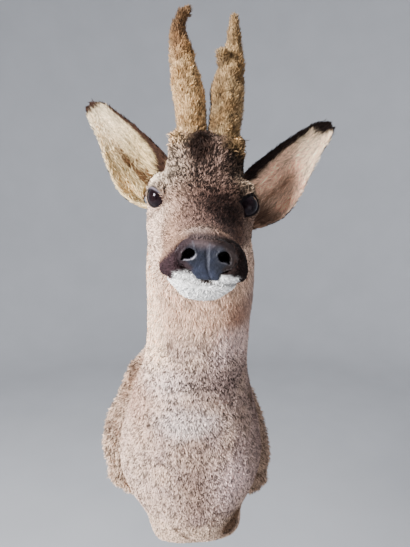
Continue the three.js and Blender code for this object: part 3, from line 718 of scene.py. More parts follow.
lumps = layered_noise(skin_co, 0.045, 3) - 0.5
ragged = layered_noise(skin_co, 0.014, 4) - 0.5
hem_weight = hem_share(skin_co)
rear_flat = smoothstep(0.3, 0.65, skin_normals[:, 1]) * smoothstep(-60, -25, skin_co[:, 1] / MM)
push = -coat_depth(skin_co, skin_normals)
push += lumps * 3.0 * (1 - on_head) * (1 - rear_flat)
push += ragged * 9.0 * hem_weight * (1 - rear_flat)
skin_h = to_head(skin_co)
push += sculpt_head(skin_h, skin_normals) * on_head
skin_co = skin_co + skin_normals * push[:, None] * MM

# Room for the nostrils behind the nose pad's face.
skin_h = to_head(skin_co)
behind_pad = smoothstep(17, 14, np.abs(skin_h[:, 0])) * smoothstep(8, 11, skin_h[:, 2]) * smoothstep(27, 24, skin_h[:, 2])
skin_h[:, 1] += 13 * behind_pad * smoothstep(12, 6, skin_h[:, 1])

# Room for the nose pad's lower lobe between the lips.
of_lobe = lobe_share(skin_h[:, 0], skin_h[:, 2])
skin_h[:, 1] += 3.5 * of_lobe * smoothstep(14, 8, skin_h[:, 1])

# The socket: the skin hugs each eyeball beyond the lids.
for side in (-1, 1):
    centre = eye_frame(side)[0]
    distance, off, past = eye_angles(skin_h, side)
    wanted = EYE_RADIUS + np.interp(past, [-90, -2, 6, 26, 44, 60], [-1.5, -1.5, 0.4, 0.9, -0.6, -4])
    share = smoothstep(75, 50, past) * smoothstep(26, 20, distance)
    inside = smoothstep(10, 0, past) * (distance < 24)
    target = np.where(inside > 0, mix_numbers(np.maximum(distance, wanted), wanted, inside), np.maximum(distance, wanted))
    grown = centre + (skin_h - centre) * (target / np.maximum(distance, 1e-6))[:, None]
    skin_h = skin_h + (grown - skin_h) * share[:, None]
skin_co = from_head(skin_h)
skin_co = relaxed(skin_co, skin_edges, 3, 1.0)

lid_solids = [lids(side) for side in (-1, 1)]
ear_solids = []
for name in EAR_NODES:
    ear_co, ear_edges, ear_triangles = arrays_of(remeshed(name + "_blank", *solid_arrays(name), EAR_VOXEL))
    ear_co = relaxed(ear_co, ear_edges, 12, 1.0)
    ear_normals = normals_of(ear_co, ear_triangles)
    ear_co = ear_co - ear_normals * 0.5 * MM
    ear_solids.append((ear_co, ear_triangles))

parts = [(skin_co, skin_triangles)] + [(from_head(co), faces) for co, faces in lid_solids] + ear_solids
SKIN_CO, SKIN_TRIANGLES = joined(parts)
SKIN_NORMALS = normals_of(SKIN_CO, SKIN_TRIANGLES)
counts = [len(co) for co, _ in parts]
PART_OF = np.repeat(np.arange(len(parts)), counts)


def coat_colours(points, normals, part_of):
    """Markings of every part of the skin: 0 is the body, 1 and 2 the lids, 3 and 4 the ears."""
    colours = markings(points, normals)
    for k, name in enumerate(EAR_NODES):
        ear = part_of == 3 + k
        if ear.any():
            colours[ear] = ear_markings(name, points[ear], normals[ear])
    return colours


skin_colours = coat_colours(SKIN_CO, SKIN_NORMALS, PART_OF)
bare_rear = smoothstep(0.3, 0.65, SKIN_NORMALS[:, 1]) * smoothstep(-60, -25, SKIN_CO[:, 1] / MM)
strength = pepper(SKIN_CO) * (PART_OF == 0) * (1 - 0.8 * bare_rear)
skin_colours *= (0.82 * (1 - strength + 1.3 * strength * speckle(SKIN_CO, 0.0021, 51)))[:, None]
for k, side in enumerate((-1, 1)):
    of_lid = PART_OF == 1 + k
    lid_h = to_head(SKIN_CO[of_lid])
    skin_colours[of_lid] = mix(skin_colours[of_lid], LID_SKIN, lid_darkness(lid_h, side))
    # Painted highlight on the right eye's upper lid.
    skin_colours[of_lid] = mix(skin_colours[of_lid], srgb(122, 112, 120), 0.7 * lid_sheen(lid_h, side))
socket = PART_OF == 0
for side in (-1, 1):
    distance, _, past = eye_angles(to_head(SKIN_CO), side)
    skin_colours = mix(skin_colours, LID_SKIN, socket * smoothstep(6, 2, past) * (distance < 20))


# ---- materials ----


def nodes_of(name):
    material = bpy.data.materials.new(name)
    material.use_nodes = True
    tree = material.node_tree
    return material, tree, tree.nodes["Principled BSDF"]


def link(tree, a, b):
    tree.links.new(a, b)


def noise_node(tree, scale, detail=3, roughness=0.6, stretch=None):
    texture = tree.nodes.new("ShaderNodeTexNoise")
    texture.inputs["Scale"].default_value = scale
    texture.inputs["Detail"].default_value = detail
    texture.inputs["Roughness"].default_value = roughness
    place = tree.nodes.new("ShaderNodeTexCoord")
    if stretch:
        mapping = tree.nodes.new("ShaderNodeMapping")
        mapping.inputs["Scale"].default_value = stretch
        link(tree, place.outputs["Object"], mapping.inputs["Vector"])
        link(tree, mapping.outputs["Vector"], texture.inputs["Vector"])
    else:
        link(tree, place.outputs["Object"], texture.inputs["Vector"])
    return texture


def ramp_node(tree, source, stops):
    ramp = tree.nodes.new("ShaderNodeValToRGB")
    elements = ramp.color_ramp.elements
    for k, (place, colour) in enumerate(stops):
        element = elements[k] if k < 2 else elements.new(place)
        element.position = place
        element.color = (*colour, 1)
    link(tree, source, ramp.inputs["Fac"])
    return ramp


def bumped(tree, shader, source, distance, strength=1.0):
    bump_node = tree.nodes.new("ShaderNodeBump")
    bump_node.inputs["Strength"].default_value = strength
    bump_node.inputs["Distance"].default_value = distance
    link(tree, source, bump_node.inputs["Height"])
    link(tree, bump_node.outputs["Normal"], shader.inputs["Normal"])


def multiplied(tree, a, b, share=1.0):
    node = tree.nodes.new("ShaderNodeMix")
    node.data_type = "RGBA"
    node.blend_type = "MULTIPLY"
    node.inputs["Factor"].default_value = share
    link(tree, a, node.inputs["A"])
    link(tree, b, node.inputs["B"])
    return node.outputs["Result"]


def painted_material(name, roughness, scale, depth, contrast=0.35, sheen=0.0, specular=0.25):
    """A matte finish that takes its colour from the mesh's Coat layer, with fine mottling and bump."""
    material, tree, shader = nodes_of(name)
    coat = tree.nodes.new("ShaderNodeAttribute")
    coat.attribute_name = "Coat"
    mottle = noise_node(tree, scale)
    low, high = 1 - contrast, 1 + contrast * 0.4
    tint = ramp_node(tree, mottle.outputs["Fac"], [(0.3, (low,) * 3), (0.7, (high,) * 3)])
    link(tree, multiplied(tree, coat.outputs["Color"], tint.outputs["Color"]), shader.inputs["Base Color"])
    shader.inputs["Roughness"].default_value = roughness
    shader.inputs["Specular IOR Level"].default_value = specular
    shader.inputs["Sheen Weight"].default_value = sheen
    if depth:
        bumped(tree, shader, mottle.outputs["Fac"], depth)
    return material


skin_material = painted_material("skin_coat", 0.85, 420, 0.0012, 0.45, 0.0, 0.1)
fur_material = painted_material("fur", 0.7, 700, 0, 0.2, 0.02, 0.08)
velvet_material = painted_material("antler_velvet", 0.8, 500, 0.0008, 0.3, 0.1, 0.12)
velvet_fur_material = painted_material("velvet_fur", 0.7, 700, 0, 0.2, 0.1, 0.12)


def add_piece(name, mesh, material, slot, *replaced):
    obj = make_object(name, mesh, material)
    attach(obj, "root")
    if replaced:
        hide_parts(*replaced)
    return obj


skin_mesh = make_mesh("skin", SKIN_CO, SKIN_TRIANGLES)
paint(skin_mesh, skin_colours)
add_piece("skin", skin_mesh, skin_material, "coat", *[n for n in FLESH_NODES if n != "nose_pad"], *EAR_NODES)


# ---- eyes ----

eye_material, tree, shader = nodes_of("eye")
iris = noise_node(tree, 260, 4)
iris_colour = ramp_node(tree, iris.outputs["Fac"], [(0.35, (0.004, 0.002, 0.003)), (0.7, (0.014, 0.007, 0.008))])
link(tree, iris_colour.outputs["Color"], shader.inputs["Base Color"])
shader.inputs["Roughness"].default_value = 0.04
shader.inputs["Specular IOR Level"].default_value = 0.3
shader.inputs["Specular Tint"].default_value = (0.4, 0.37, 0.42, 1)
for name, side in (("eye_left", 1), ("eye_right", -1)):
    centre, gaze, _, _ = eye_frame(side)
    co, faces = ball((0, 0, 0), EYE_RADIUS, 40, 64)
    cornea = smoothstep(0.72, 0.98, co @ gaze / EYE_RADIUS)
    _, _, past = eye_angles(centre + co, side)
    under_lids = np.interp(past, [4, 30, 60], [1, 0.9, 0.62])
    co = centre + co * ((1 + 0.045 * cornea) * under_lids)[:, None]
    add_piece(name + "_glass", make_mesh(name, from_head(co), faces), eye_material, "eye_glass", name)


# ---- nose ----

nose_co, nose_edges, nose_triangles = arrays_of(
    remeshed("nose_blank", *joined([solid_arrays("nose_pad")], 0.5 * MM), NOSE_VOXEL)
)
nose_co = relaxed(nose_co, nose_edges, 25, 1.0)
nose_normals = normals_of(nose_co, nose_triangles)
nose_h = to_head(nose_co)
x, s, z = nose_h.T
front = smoothstep(0.2, 0.6, -(nose_normals @ HEAD_AXES[:, 1]))
push = np.zeros(len(nose_h))
NOSTRIL_PATH = [(9.6, 19.2, 2.0), (11.2, 18.9, 2.7), (13.2, 17.6, 2.2), (14.6, 15.8, 1.1), (15.2, 14.4, 0.5)]


def nostril_share(x, z, side):
    """Distance from one nostril's comma, as a share of its half-width there: below 1 is inside."""
    best = np.full(len(x), 9.0)
    for (x0, z0, r0), (x1, z1, r1) in zip(NOSTRIL_PATH, NOSTRIL_PATH[1:]):
        ax, az = x0 * side, z0
        bx, bz = x1 * side - ax, z1 - az
        t = np.clip(((x - ax) * bx + (z - az) * bz) / (bx * bx + bz * bz), 0, 1)
        best = np.minimum(best, np.hypot(x - ax - t * bx, z - az - t * bz) / (r0 + t * (r1 - r0)))
    return best


hole = np.minimum(nostril_share(x, z, -1), nostril_share(x, z, 1))
lean = x - 0.14 * (18 - z)
push += 0.35 * np.exp(-(((hole - 1.35) / 0.3) ** 2)) * front * smoothstep(12, 15, z + 0.2 * np.abs(x))
push -= 0.6 * np.exp(-((lean / 0.8) ** 2)) * smoothstep(27, 20, z) * front
push -= 0.4 + 1.2 * smoothstep(9, 15, np.abs(x)) * smoothstep(15, 9, z) * front
pebbles = layered_noise(nose_co, 0.0021, 31, 2) - 0.5
push += 0.5 * pebbles * smoothstep(1.0, 1.4, hole)
nose_co = nose_co + nose_normals * push[:, None] * MM
nose_h = to_head(nose_co)
nose_h[:, 1] += 8 * smoothstep(1.08, 0.7, hole) * smoothstep(8, 4, s)
nose_h[:, 0] += 2.4 * smoothstep(12, 0, z)
nose_h[:, 1] += 4 * smoothstep(2.6, 0.6, z)
nose_co = from_head(nose_h)
nose_mesh = make_mesh("nose", nose_co, nose_triangles)
slate = mix(srgb(38, 43, 60), srgb(20, 22, 29), layered_noise(nose_co, 0.005, 33))
slate = mix(slate, srgb(16, 16, 20), 0.6 * smoothstep(2, 12, x))
slate = slate * np.interp(z, [0, 8, 18], [1.8, 1.2, 0.62])[:, None]
half = np.interp(z, [0, 6, 10, 14, 22, 27], [12, 10.5, 8.5, 12.5, 12, 8])
# The wing's colour, painted lighter on its lit side and darker on its shaded side.
wing = mix(WING_LIT, WING_SHADED, smoothstep(-24, 6, x))
of_wing = smoothstep(half - 1, half + 3, np.abs(lean)) * np.ones(len(x))
of_wing = np.maximum(of_wing, smoothstep(24, 27, z))[:, None]
colours = slate * (1 - of_wing) + wing * of_wing
colours = mix(colours, srgb(100, 84, 84), 0.7 * near(nose_h, (-4, 2, 25.5), (8, 9, 2.8)))
# Painted highlights: two upright pale lines beside the middle, and the rim under the right nostril.
highlight_lines = np.exp(-(((x + 9.5 - 0.28 * (26 - z)) / 0.45) ** 2)) * smoothstep(15, 17, z) * smoothstep(27.5, 26, z)
highlight_lines += np.exp(-(((x - 1.2 - 0.05 * (27 - z)) / 0.4) ** 2)) * smoothstep(8, 10, z) * smoothstep(27.5, 26, z)
colours = mix(colours, srgb(120, 122, 132), 0.32 * np.clip(highlight_lines, 0, 1))
under = np.exp(-(((hole - 1.5) / 0.2) ** 2)) * smoothstep(18, 15, z - 0.4 * (x + 12)) * smoothstep(-16, -13, x) * (x < 0)
under += 0.15 * np.exp(-(((hole - 1.5) / 0.25) ** 2)) * smoothstep(17, 14, z) * (x > 0)
colours = mix(colours, srgb(176, 172, 182), 0.72 * under)
# Painted shade: near black inside the nostrils.
colours = mix(colours, srgb(3, 2, 2), smoothstep(1.25, 1.0, hole))
# Painted shade in the groove down the pad's middle.
colours = mix(colours, srgb(26, 24, 28), 0.5 * np.exp(-((lean / 0.6) ** 2)) * smoothstep(24, 18, z))
paint(nose_mesh, colours)
nose_material = painted_material("nose_leather", 0.5, 900, 0.0004, 0.3, 0.0, 0.26)
add_piece("nose", nose_mesh, nose_material, "nose_leather", "nose_pad")


# ---- blades of hair ----

SHORT_BLADE = ((0, 0.9), (0.55, 1.0), (1, 0))
LONG_BLADE = ((0, 0.75), (0.38, 1.0), (0.72, 0.72), (1, 0))
SHORT_FACES = np.array([(0, 1, 3), (0, 3, 2), (2, 3, 4)])
LONG_FACES = np.array([(0, 1, 3), (0, 3, 2), (2, 3, 5), (2, 5, 4), (4, 5, 6)])
PATCH = 0.003

skin_tree = BVHTree.FromPolygons([Vector(p) for p in SKIN_CO], [tuple(t) for t in SKIN_TRIANGLES.tolist()])


def scatter(density):
    """Roots spread evenly over the skin; density is in hairs per square mm for each of its triangles."""
    a, b, c = (SKIN_CO[SKIN_TRIANGLES[:, k]] for k in range(3))
    area = np.linalg.norm(np.cross(b - a, c - a), axis=1) / 2 / MM**2
    share = np.cumsum(area * density)
    count = int(share[-1])
    at = (np.arange(count) + RANDOM.random(count)) / count * share[-1]
    chosen = np.minimum(np.searchsorted(share, at), len(share) - 1)
    u, v = RANDOM.random((2, count))
    fold = u + v > 1
    u, v = np.where(fold, 1 - u, u)[:, None], np.where(fold, 1 - v, v)[:, None]
    roots = a[chosen] + u * (b - a)[chosen] + v * (c - a)[chosen]
    n = SKIN_NORMALS[SKIN_TRIANGLES[chosen]]
    return roots, unit(n[:, 0] * (1 - u - v) + n[:, 1] * u + n[:, 2] * v), PART_OF[SKIN_TRIANGLES[chosen, 0]]


def lie_of_coat(points, normals, part_of):
    """The way the hair lies at each point, along the skin."""
    h = to_head(points)
    x, s, z = h.T
    X, Y, Z = (points / MM).T
    back = np.stack([0.25 * np.sign(x) * smoothstep(0, 20, np.abs(x)), np.ones(len(x)), 0 * x], 1)
    back[:, 2] = np.where(z < 30, -0.25 * smoothstep(60, 140, s), 0.35)
    crown_up = smoothstep(60, 90, z) * smoothstep(110, 140, s)
    back[:, 2] += 0.8 * crown_up
    flow = head_direction(back)
    neck = np.stack([0.10 * np.sign(X) * smoothstep(0, 40, np.abs(X)), 0.38 + 0 * X, -0.92 + 0 * X], 1)
    trunk = np.stack([0.30 * X / 100, 0.10 + 0 * X, -1 + 0 * X], 1)
    down = mix_rows(trunk, neck, smoothstep(40, 110, Z))
    flow = mix_rows(down, flow, smoothstep(0.25, 0.75, head_share(points)))
    outward = unit(np.stack([X, 0 * X, Z + 60], 1)) + [0, 0.15, -0.85]
    flow = mix_rows(flow, outward, hem_share(points))
    for k, name in enumerate(EAR_NODES):
        ear = part_of == 3 + k
        if ear.any():
            _, w, inward, up, across, back_axis = ear_place(name, points[ear], normals[ear])
            flow[ear] = up + np.outer(0.12 * w, across * EAR_POSES[name]["lower"])
    flow = flow - normals * dot(flow, normals)[:, None]
    return unit(flow)


def mix_rows(a, b, t):
    return a * (1 - t[:, None]) + b * t[:, None]


def turned(direction, normals, angle):
    return direction * np.cos(angle)[:, None] + np.cross(normals, direction) * np.sin(angle)[:, None]


def unwrapped(points, part_of):
    """Each root's place on an unwrap of the skin: round and along the head, the body and each ear."""
    h = to_head(points)
    head = head_share(points) > 0.5
    X, Y, Z = (points / MM).T
    u = np.where(head, np.arctan2(h[:, 0], h[:, 2] - 20), np.arctan2(X, -Y - 60)) / (2 * math.pi) + 0.5
    v = np.where(head, 0.52 + 0.33 * np.clip(h[:, 1] / 240, 0, 1), 0.02 + 0.48 * np.clip((Z + 215) / 560, 0, 1))
    for k, name in enumerate(EAR_NODES):
        ear = part_of == 3 + k
        if ear.any():
            along, w, inward, *_ = ear_place(name, points[ear], np.zeros((ear.sum(), 3)))
            u[ear] = 0.25 + 0.5 * k + 0.2 * np.clip(w, -1, 1)
            v[ear] = 0.87 + 0.11 * np.clip(along, 0, 1)
    return np.stack([0.005 + 0.99 * u, v], 1)


def blade_arrays(roots, normals, lie, length, width, lift, rows, on_skin=True):
    """Vertices of curved, pointed blades: each row is a share of the length and of the width."""
    count = len(roots)
    across = np.cross(normals, lie)
    roll = RANDOM.normal(0, 0.5, count)
    side = across * np.cos(roll)[:, None] + normals * np.sin(roll)[:, None]
    bend = RANDOM.normal(0, 0.07, count) * length
    height = length * lift
    tips = roots + lie * length[:, None] + normals * height[:, None]
    correction = np.zeros((count, 3))
    if on_skin:
        for i, tip in enumerate(tips.tolist()):
            place, normal, _, _ = skin_tree.find_nearest(tip)
            above = (tip[0] - place[0]) * normal[0] + (tip[1] - place[1]) * normal[1] + (tip[2] - place[2]) * normal[2]
            gap = height[i] - above
            correction[i] = (normal[0] * gap, normal[1] * gap, normal[2] * gap)
        size = np.linalg.norm(correction, axis=1)
        limit = np.minimum(size, 0.6 * length) / np.maximum(size, 1e-9)
        correction *= limit[:, None]
    points, along = [], []
    for t, w in rows:
        centre = roots + lie * (length * t)[:, None] + normals * (height * (1 - (1 - t) ** 2) - 0.0003)[:, None]
        centre += across * (bend * t * t)[:, None] + correction * t * t
        if w:
            half = side * (width * w / 2)[:, None]
            points += [centre - half, centre + half]
            along += [t, t]
        else:
            points.append(centre)
            along.append(t)
    points = np.stack(points, 1)
    points[:, :, 1] = np.minimum(points[:, :, 1], -0.3 * MM)
    return points, np.array(along)


def hair_piece(name, slot, material, points, along, uv, colours, faces):
    """One mesh of blades; points is (blades, corners, 3) and colours one colour per corner."""
    count, corners, _ = points.shape
    all_faces = (faces[None] + (np.arange(count) * corners)[:, None, None]).reshape(-1, 3)
    mesh = make_mesh(name, points.reshape(-1, 3), all_faces)
    paint(mesh, colours.reshape(-1, 3))
    side = np.where(np.arange(corners) % 2, 0.5, -0.5)
    side[-1] = 0
    patch = np.stack([side, along - 0.5], 1) * PATCH
    corner_uv = (uv[:, None] + patch[None]).reshape(-1, 2)
    layer = mesh.uv_layers.new(name="OFBake")
    layer.data.foreach_set("uv", corner_uv[all_faces.ravel()].astype(np.float32).ravel())
    return add_piece(name, mesh, material, slot)


def grow_coat(name, roots, normals, part_of, length, width, lift, rows, stray=0.2, contrast=0.2, limit=190000):
    """Hair on the skin at the given roots, in as many pieces as their triangle counts need."""
    faces = LONG_FACES if rows is LONG_BLADE else SHORT_FACES
    count = len(roots)
    lie = lie_of_coat(roots, normals, part_of)
    swirl = (layered_noise(roots, 0.009, 41, 2) - 0.5) * 1.5
    lie = turned(lie, normals, swirl + RANDOM.normal(0, stray, count))
    length = length * RANDOM.uniform(0.75, 1.2, count)
    width = width * RANDOM.uniform(0.7, 1.2, count)
    lift = lift * RANDOM.uniform(0.4, 1.7, count)
    points, along = blade_arrays(roots, normals, lie, length, width, lift, rows)
    base = coat_colours(roots, normals, part_of)
    strength = pepper(roots) * (part_of < 3)
    coarse = forehead_share(to_head(roots)) * head_share(roots)
    dark_share = 0.38 + 0.2 * coarse + 0.6 * (0.5 - speckle(roots, 0.0021, 51))
    dark = RANDOM.random(count) < dark_share
    light_gain = 1 + (0.5 + 0.55 * coarse) * strength
    shade = np.exp(RANDOM.normal(0, contrast, count)) * np.where(dark, 1 - 0.86 * strength, light_gain)
    root_to_tip = np.interp(along, [0, 0.4, 0.8, 1], [0.55, 0.85, 1.1, 1.15])
    colours = base[:, None] * (shade[:, None] * root_to_tip[None])[:, :, None]
    uv = unwrapped(roots, part_of)
    per_piece = limit // len(faces)
    order = np.argsort(roots[:, 2], kind="stable")
    pieces = math.ceil(count / per_piece)
    for k, chosen in enumerate(np.array_split(order, pieces)):
        label = name if pieces == 1 else f"{name}_{k + 1}"
        hair_piece(label, "coat" if not name.startswith("ear") else "ear_coat", fur_material, points[chosen], along,
                   uv[chosen], colours[chosen], faces)


centres = SKIN_CO[SKIN_TRIANGLES].mean(1)
centre_normals = normals_of(SKIN_CO, SKIN_TRIANGLES)[SKIN_TRIANGLES[:, 0]]
centre_part = PART_OF[SKIN_TRIANGLES[:, 0]]
centre_h = to_head(centres)
centre_head = head_share(centres)
hidden = smoothstep(0.3, 0.65, centre_normals[:, 1]) * smoothstep(-60, -25, centres[:, 1] / MM)
bare = np.zeros(len(centres))
for side in (-1, 1):
    distance, _, past = eye_angles(centre_h, side)
    bare = np.maximum(bare, lid_darkness(centre_h, side) > 0.5)
    bare = np.maximum(bare, (centre_part == 0) * (distance < 22) * smoothstep(34, 30, past))
pad = (np.abs(centre_h[:, 0]) < 17) & (centre_h[:, 2] > 6) & (centre_h[:, 2] < 27) & (centre_h[:, 1] < 24)
bare = np.maximum(bare, pad)
bare = np.maximum(bare, corner_share(centre_h) > 0.6)
bare = np.maximum(bare, (lobe_share(centre_h[:, 0], centre_h[:, 2]) > 0.5) & (centre_h[:, 1] < 20))
open_skin = (1 - bare) * (hidden < 0.5)

# Face: short hair that lies flat.
is_face = (centre_part < 3) & (centre_head > 0.5) & (centre_h[:, 1] < 128)
roots, normals, part_of = scatter(np.where(is_face, 2.2 - 0.8 * forehead_share(centre_h), 0) * open_skin)
h = to_head(roots)
coarse = forehead_share(h)
length = (2.4 + 2.6 * smoothstep(10, 70, h[:, 1]) + 1.6 * coarse) * MM
for side in (-1, 1):
    length = length * (1 - 0.5 * near(h, (46 * side, 116, 46), (12, 16, 14)))
length = length * (1 + 0.9 * smoothstep(-2, -6, h[:, 2]) * smoothstep(40, 20, h[:, 1]))
width, lift, stray = (0.62 + 0.16 * coarse) * MM, 0.2 + 0.1 * coarse, 0.3 + 0.3 * coarse
grow_coat("coat_face", roots, normals, part_of, length, width, lift, SHORT_BLADE, stray, 0.25)

# Crown, cheeks and back of the head.
is_crown = (centre_part < 3) & (centre_head > 0.5) & (centre_h[:, 1] >= 128)
roots, normals, part_of = scatter(np.where(is_crown, 1.4, 0) * open_skin)
h = to_head(roots)
length = (4.8 + 2.6 * smoothstep(80, 98, h[:, 2]) + 2.5 * smoothstep(10, -20, h[:, 2])) * MM
lift = 0.25 + 0.3 * smoothstep(82, 98, h[:, 2])
grow_coat("coat_crown", roots, normals, part_of, length, 0.78 * MM, lift, SHORT_BLADE, 0.5, 0.22)

# Neck and trunk.
is_body = (centre_part == 0) & (centre_head <= 0.5)
near_hem = hem_share(centres)
roots, normals, part_of = scatter(np.where(is_body, 1.4 * (1 - 0.5 * near_hem), 0) * open_skin)
on_neck = smoothstep(100, 150, roots[:, 2] / MM)
length = (4.8 + 4.5 * on_neck) * MM
width, lift, stray = (0.92 - 0.16 * on_neck) * MM, 0.4 - 0.18 * on_neck, 0.44 - 0.18 * on_neck
grow_coat("coat_body", roots, normals, part_of, length, width, lift, SHORT_BLADE, stray, 0.18)

# Hem: longer, ragged hair round the cut edge.
roots, normals, part_of = scatter(np.where(is_body, 0.75 * near_hem, 0) * open_skin)
grow_coat("coat_hem", roots, normals, part_of, np.full(len(roots), 9 * MM), 1.1 * MM, 0.36, LONG_BLADE, 0.5, 0.18)

# Ears: short hair, and long pale hair inside them.
is_ear = centre_part >= 3
roots, normals, part_of = scatter(np.where(is_ear, 0.95, 0))
grow_coat("ear_coat", roots, normals, part_of, np.full(len(roots), 6 * MM), 0.7 * MM, 0.18, SHORT_BLADE, 0.22, 0.24)
inside = np.zeros(len(centres))
for k, name in enumerate(EAR_NODES):
    v, w, inward, *_ = ear_place(name, centres, centre_normals)
    across = (w - np.interp(v, *EAR_SKEWS)) / np.interp(v, *EAR_WIDTHS)
    inside += (centre_part == 3 + k) * (inward > 0.1) * smoothstep(0.5, 0.2, v) * smoothstep(-0.75, -0.4, across) * smoothstep(0.8, 0.5, across)
roots, normals, part_of = scatter(0.3 * inside)
grow_coat("ear_inner_hair", roots, normals, part_of, np.full(len(roots), 12 * MM), 0.8 * MM, 0.18, LONG_BLADE, 0.2, 0.2)


# ---- antlers ----

# Seeds of the two antlers' lumps and colours.
RIGHT_ANTLER, LEFT_ANTLER = 61, 62


def antler(name, nodes, seed):
    co, edges, triangles = arrays_of(remeshed(name, *joined([solid_arrays(n) for n in nodes], 0.5 * MM), ANTLER_VOXEL))
    co = relaxed(co, edges, 40, 1.0)
    normals = normals_of(co, triangles)
    lumpy = 3.8 * (layered_noise(co, 0.014, seed) - 0.5)
    lumpy += 2.6 * (layered_noise(co * [1, 1, 0.5], 0.0035, seed + 5) - 0.5)
    co = co + normals * ((lumpy - 1.8) * MM)[:, None]
    normals = normals_of(co, triangles)
    return co, triangles, normals


def velvet_colours(points, seed):
    h = to_head(points)
    patch = layered_noise(points, 0.013, seed)
    colours = mix(srgb(222, 184, 132), srgb(190, 150, 100), smoothstep(0.42, 0.7, patch))
    colours = mix(colours, srgb(222, 194, 150), 0.6 * smoothstep(116, 98, h[:, 2]))
    # Painted shade in the velvet's hollows, which follow the lumps' finer noise.
    crevice_shade = smoothstep(0.56, 0.36, layered_noise(points * [1, 1, 0.5], 0.0035, seed + 5))
    colours = mix(colours, srgb(110, 76, 46), 0.5 * crevice_shade)
    colours = mix(colours, srgb(150, 112, 68), 0.3 * smoothstep(0.45, 0.65, noise(points, 0.02, seed + 3)))
    # Painted shade: the left antler, on the side away from the key light, darker overall.
    if seed == LEFT_ANTLER:
        colours = colours * 0.6
    dark = near(h, (-38, 172, 188), (9, 14, 22)) * (seed == RIGHT_ANTLER)
    colours = mix(colours, srgb(112, 70, 40), 0.85 * dark)
    return mix(colours, srgb(104, 74, 48), 0.85 * smoothstep(186, 200, h[:, 2]) * (seed == RIGHT_ANTLER))


def antler_with_velvet(name, nodes, seed):
    co, triangles, normals = antler(name, nodes, seed)
    mesh = make_mesh(name, co, triangles)
    paint(mesh, velvet_colours(co, seed) * (0.82 + 0.36 * noise(co, 0.0015, 8))[:, None])
    add_piece(name, mesh, velvet_material, "velvet", *nodes)
    a, b, c = (co[triangles[:, k]] for k in range(3))
    area = np.linalg.norm(np.cross(b - a, c - a), axis=1) / 2 / MM**2
    share = np.cumsum(area * 1.7)
    count = int(share[-1])
    chosen = np.searchsorted(share, (np.arange(count) + RANDOM.random(count)) / count * share[-1])
    chosen = np.minimum(chosen, len(triangles) - 1)
    u, v = RANDOM.random((2, count, 1)) * 0.6
    roots = a[chosen] + u * (b - a)[chosen] + v * (c - a)[chosen]
    root_normals = normals[triangles[chosen, 0]]
    lie = np.tile(head_direction([0, 0.1, 1.0]), (count, 1)) + RANDOM.normal(0, 0.3, (count, 3))
    lie = unit(lie - root_normals * dot(lie, root_normals)[:, None])
    length = 4.2 * MM * RANDOM.uniform(0.6, 1.25, count)
    points, along = blade_arrays(roots, root_normals, lie, length * 0.8, np.full(count, 0.6 * MM),
                                 RANDOM.uniform(0.35, 0.95, count), SHORT_BLADE, on_skin=False)
    grain = smoothstep(0.34, 0.6, layered_noise(roots, 0.0024, seed + 9, 2))
    shade = (np.exp(RANDOM.normal(0, 0.16, count)) * (0.62 + 0.6 * grain))[:, None]
    colours = velvet_colours(roots, seed)[:, None] * (shade * np.interp(along, [0, 1], [0.5, 1.2])[None])[:, :, None]
    h = to_head(roots)
    around = np.arctan2(root_normals[:, 0], -root_normals[:, 1]) / (2 * math.pi) + 0.5
    uv = np.stack([0.02 + 0.96 * around, 0.02 + 0.96 * np.clip((h[:, 2] - 90) / 140, 0, 1)], 1)
    hair_piece(name + "_velvet", "velvet", velvet_fur_material, points, along, uv, colours, SHORT_FACES)


antler_with_velvet("antler_of_the_right", ["antler_right"], RIGHT_ANTLER)
antler_with_velvet("antler_of_the_left", ["antler_left_base", "antler_left_beam", "antler_left_tine"], LEFT_ANTLER)


# ---- backboard ----

plywood, tree, shader = nodes_of("plywood")
grain = noise_node(tree, 38, 5, 0.65, (0.35, 1, 5))
colour = ramp_node(tree, grain.outputs["Fac"], [(0.3, tuple(srgb(150, 112, 70))), (0.7, tuple(srgb(204, 170, 122)))])
plies = tree.nodes.new("ShaderNodeTexWave")
plies.bands_direction = "Y"
plies.inputs["Scale"].default_value = 52
plies.inputs["Distortion"].default_value = 0.4
place = tree.nodes.new("ShaderNodeTexCoord")
link(tree, place.outputs["Object"], plies.inputs["Vector"])
layers = ramp_node(tree, plies.outputs["Fac"], [(0.4, (0.72,) * 3), (0.6, (1, 1, 1))])
link(tree, multiplied(tree, colour.outputs["Color"], layers.outputs["Color"], 0.6), shader.inputs["Base Color"])
shader.inputs["Roughness"].default_value = 0.66
bumped(tree, shader, grain.outputs["Fac"], 0.0004)
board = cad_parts["backboard"]
board.data.materials.clear()
board.data.materials.append(plywood)


# ---- stage, lights and camera ----


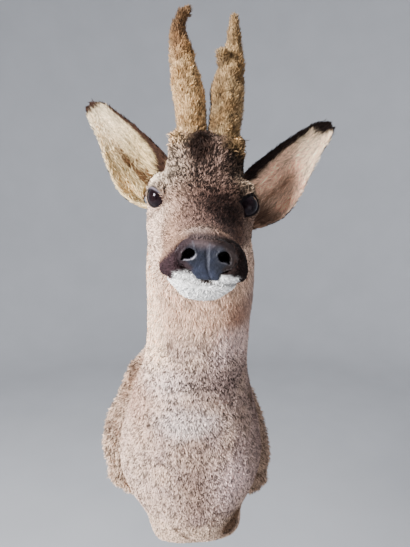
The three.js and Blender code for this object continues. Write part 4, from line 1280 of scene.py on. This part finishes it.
def studio_bowl():
    """A pale round floor that curves up into a wall all round, well away from the mount on every side."""
    floor, radius, fillet, top = -0.95, 2.7, 1.1, 4.2
    profile = [(r, floor) for r in (0.0005, 0.9, 1.8, radius)]
    profile += [(radius + fillet * math.sin(a), floor + fillet * (1 - math.cos(a))) for a in np.radians(range(9, 91, 9))]
    profile += [(radius + fillet, 1.6), (radius + fillet, top)]
    around = np.arange(72) / 72 * 2 * math.pi
    co = [(r * math.cos(a), r * math.sin(a), z) for r, z in profile for a in around]
    faces = []
    for ring in range(len(profile) - 1):
        for i in range(72):
            j = (i + 1) % 72
            faces.append((ring * 72 + i, ring * 72 + j, (ring + 1) * 72 + j, (ring + 1) * 72 + i))
    return make_mesh("studio_bowl", np.array(co), faces)


stage_material, tree, shader = nodes_of("stage_paper")
paper = noise_node(tree, 3, 2)
tone = ramp_node(tree, paper.outputs["Fac"], [(0.3, (0.44, 0.45, 0.47)), (0.7, (0.47, 0.48, 0.50))])
link(tree, tone.outputs["Color"], shader.inputs["Base Color"])
shader.inputs["Roughness"].default_value = 0.9
make_object("studio_bowl", studio_bowl(), stage_material)

world = bpy.data.worlds.new("studio")
world.use_nodes = True
world.node_tree.nodes["Background"].inputs["Color"].default_value = (0.86, 0.90, 1.0, 1)
world.node_tree.nodes["Background"].inputs["Strength"].default_value = 0.62
bpy.context.scene.world = world


def area_light(name, place, target, size, power, colour):
    light = bpy.data.lights.new(name, "AREA")
    light.size = size
    light.energy = power
    light.color = colour
    obj = bpy.data.objects.new(name, light)
    obj.location = place
    obj.rotation_euler = (Vector(target) - Vector(place)).to_track_quat("-Z", "Y").to_euler()
    bpy.context.scene.collection.objects.link(obj)


area_light("key", (-1.85, -1.35, 0.85), (0, -0.2, 0.1), 0.7, 225, (0.98, 0.98, 1.0))
area_light("fill", (0.9, -1.9, -0.5), (0, -0.2, 0.05), 1.5, 12, (1.0, 0.96, 0.95))
area_light("rim", (0.5, 1.7, 1.8), (0, -0.1, 0.2), 1.2, 16, (1.0, 0.98, 0.95))

camera = bpy.data.objects.new("camera", bpy.data.cameras.new("camera"))
camera.data.sensor_width = 36
camera.data.lens = 36 * FOCAL_PIXELS / FRAME_HEIGHT
camera.location = CAMERA_PLACE
camera.rotation_euler = (math.radians(90) + CAMERA_PITCH, 0, CAMERA_YAW)
camera.data.clip_start = 0.01
bpy.context.scene.collection.objects.link(camera)
bpy.context.scene.camera = camera
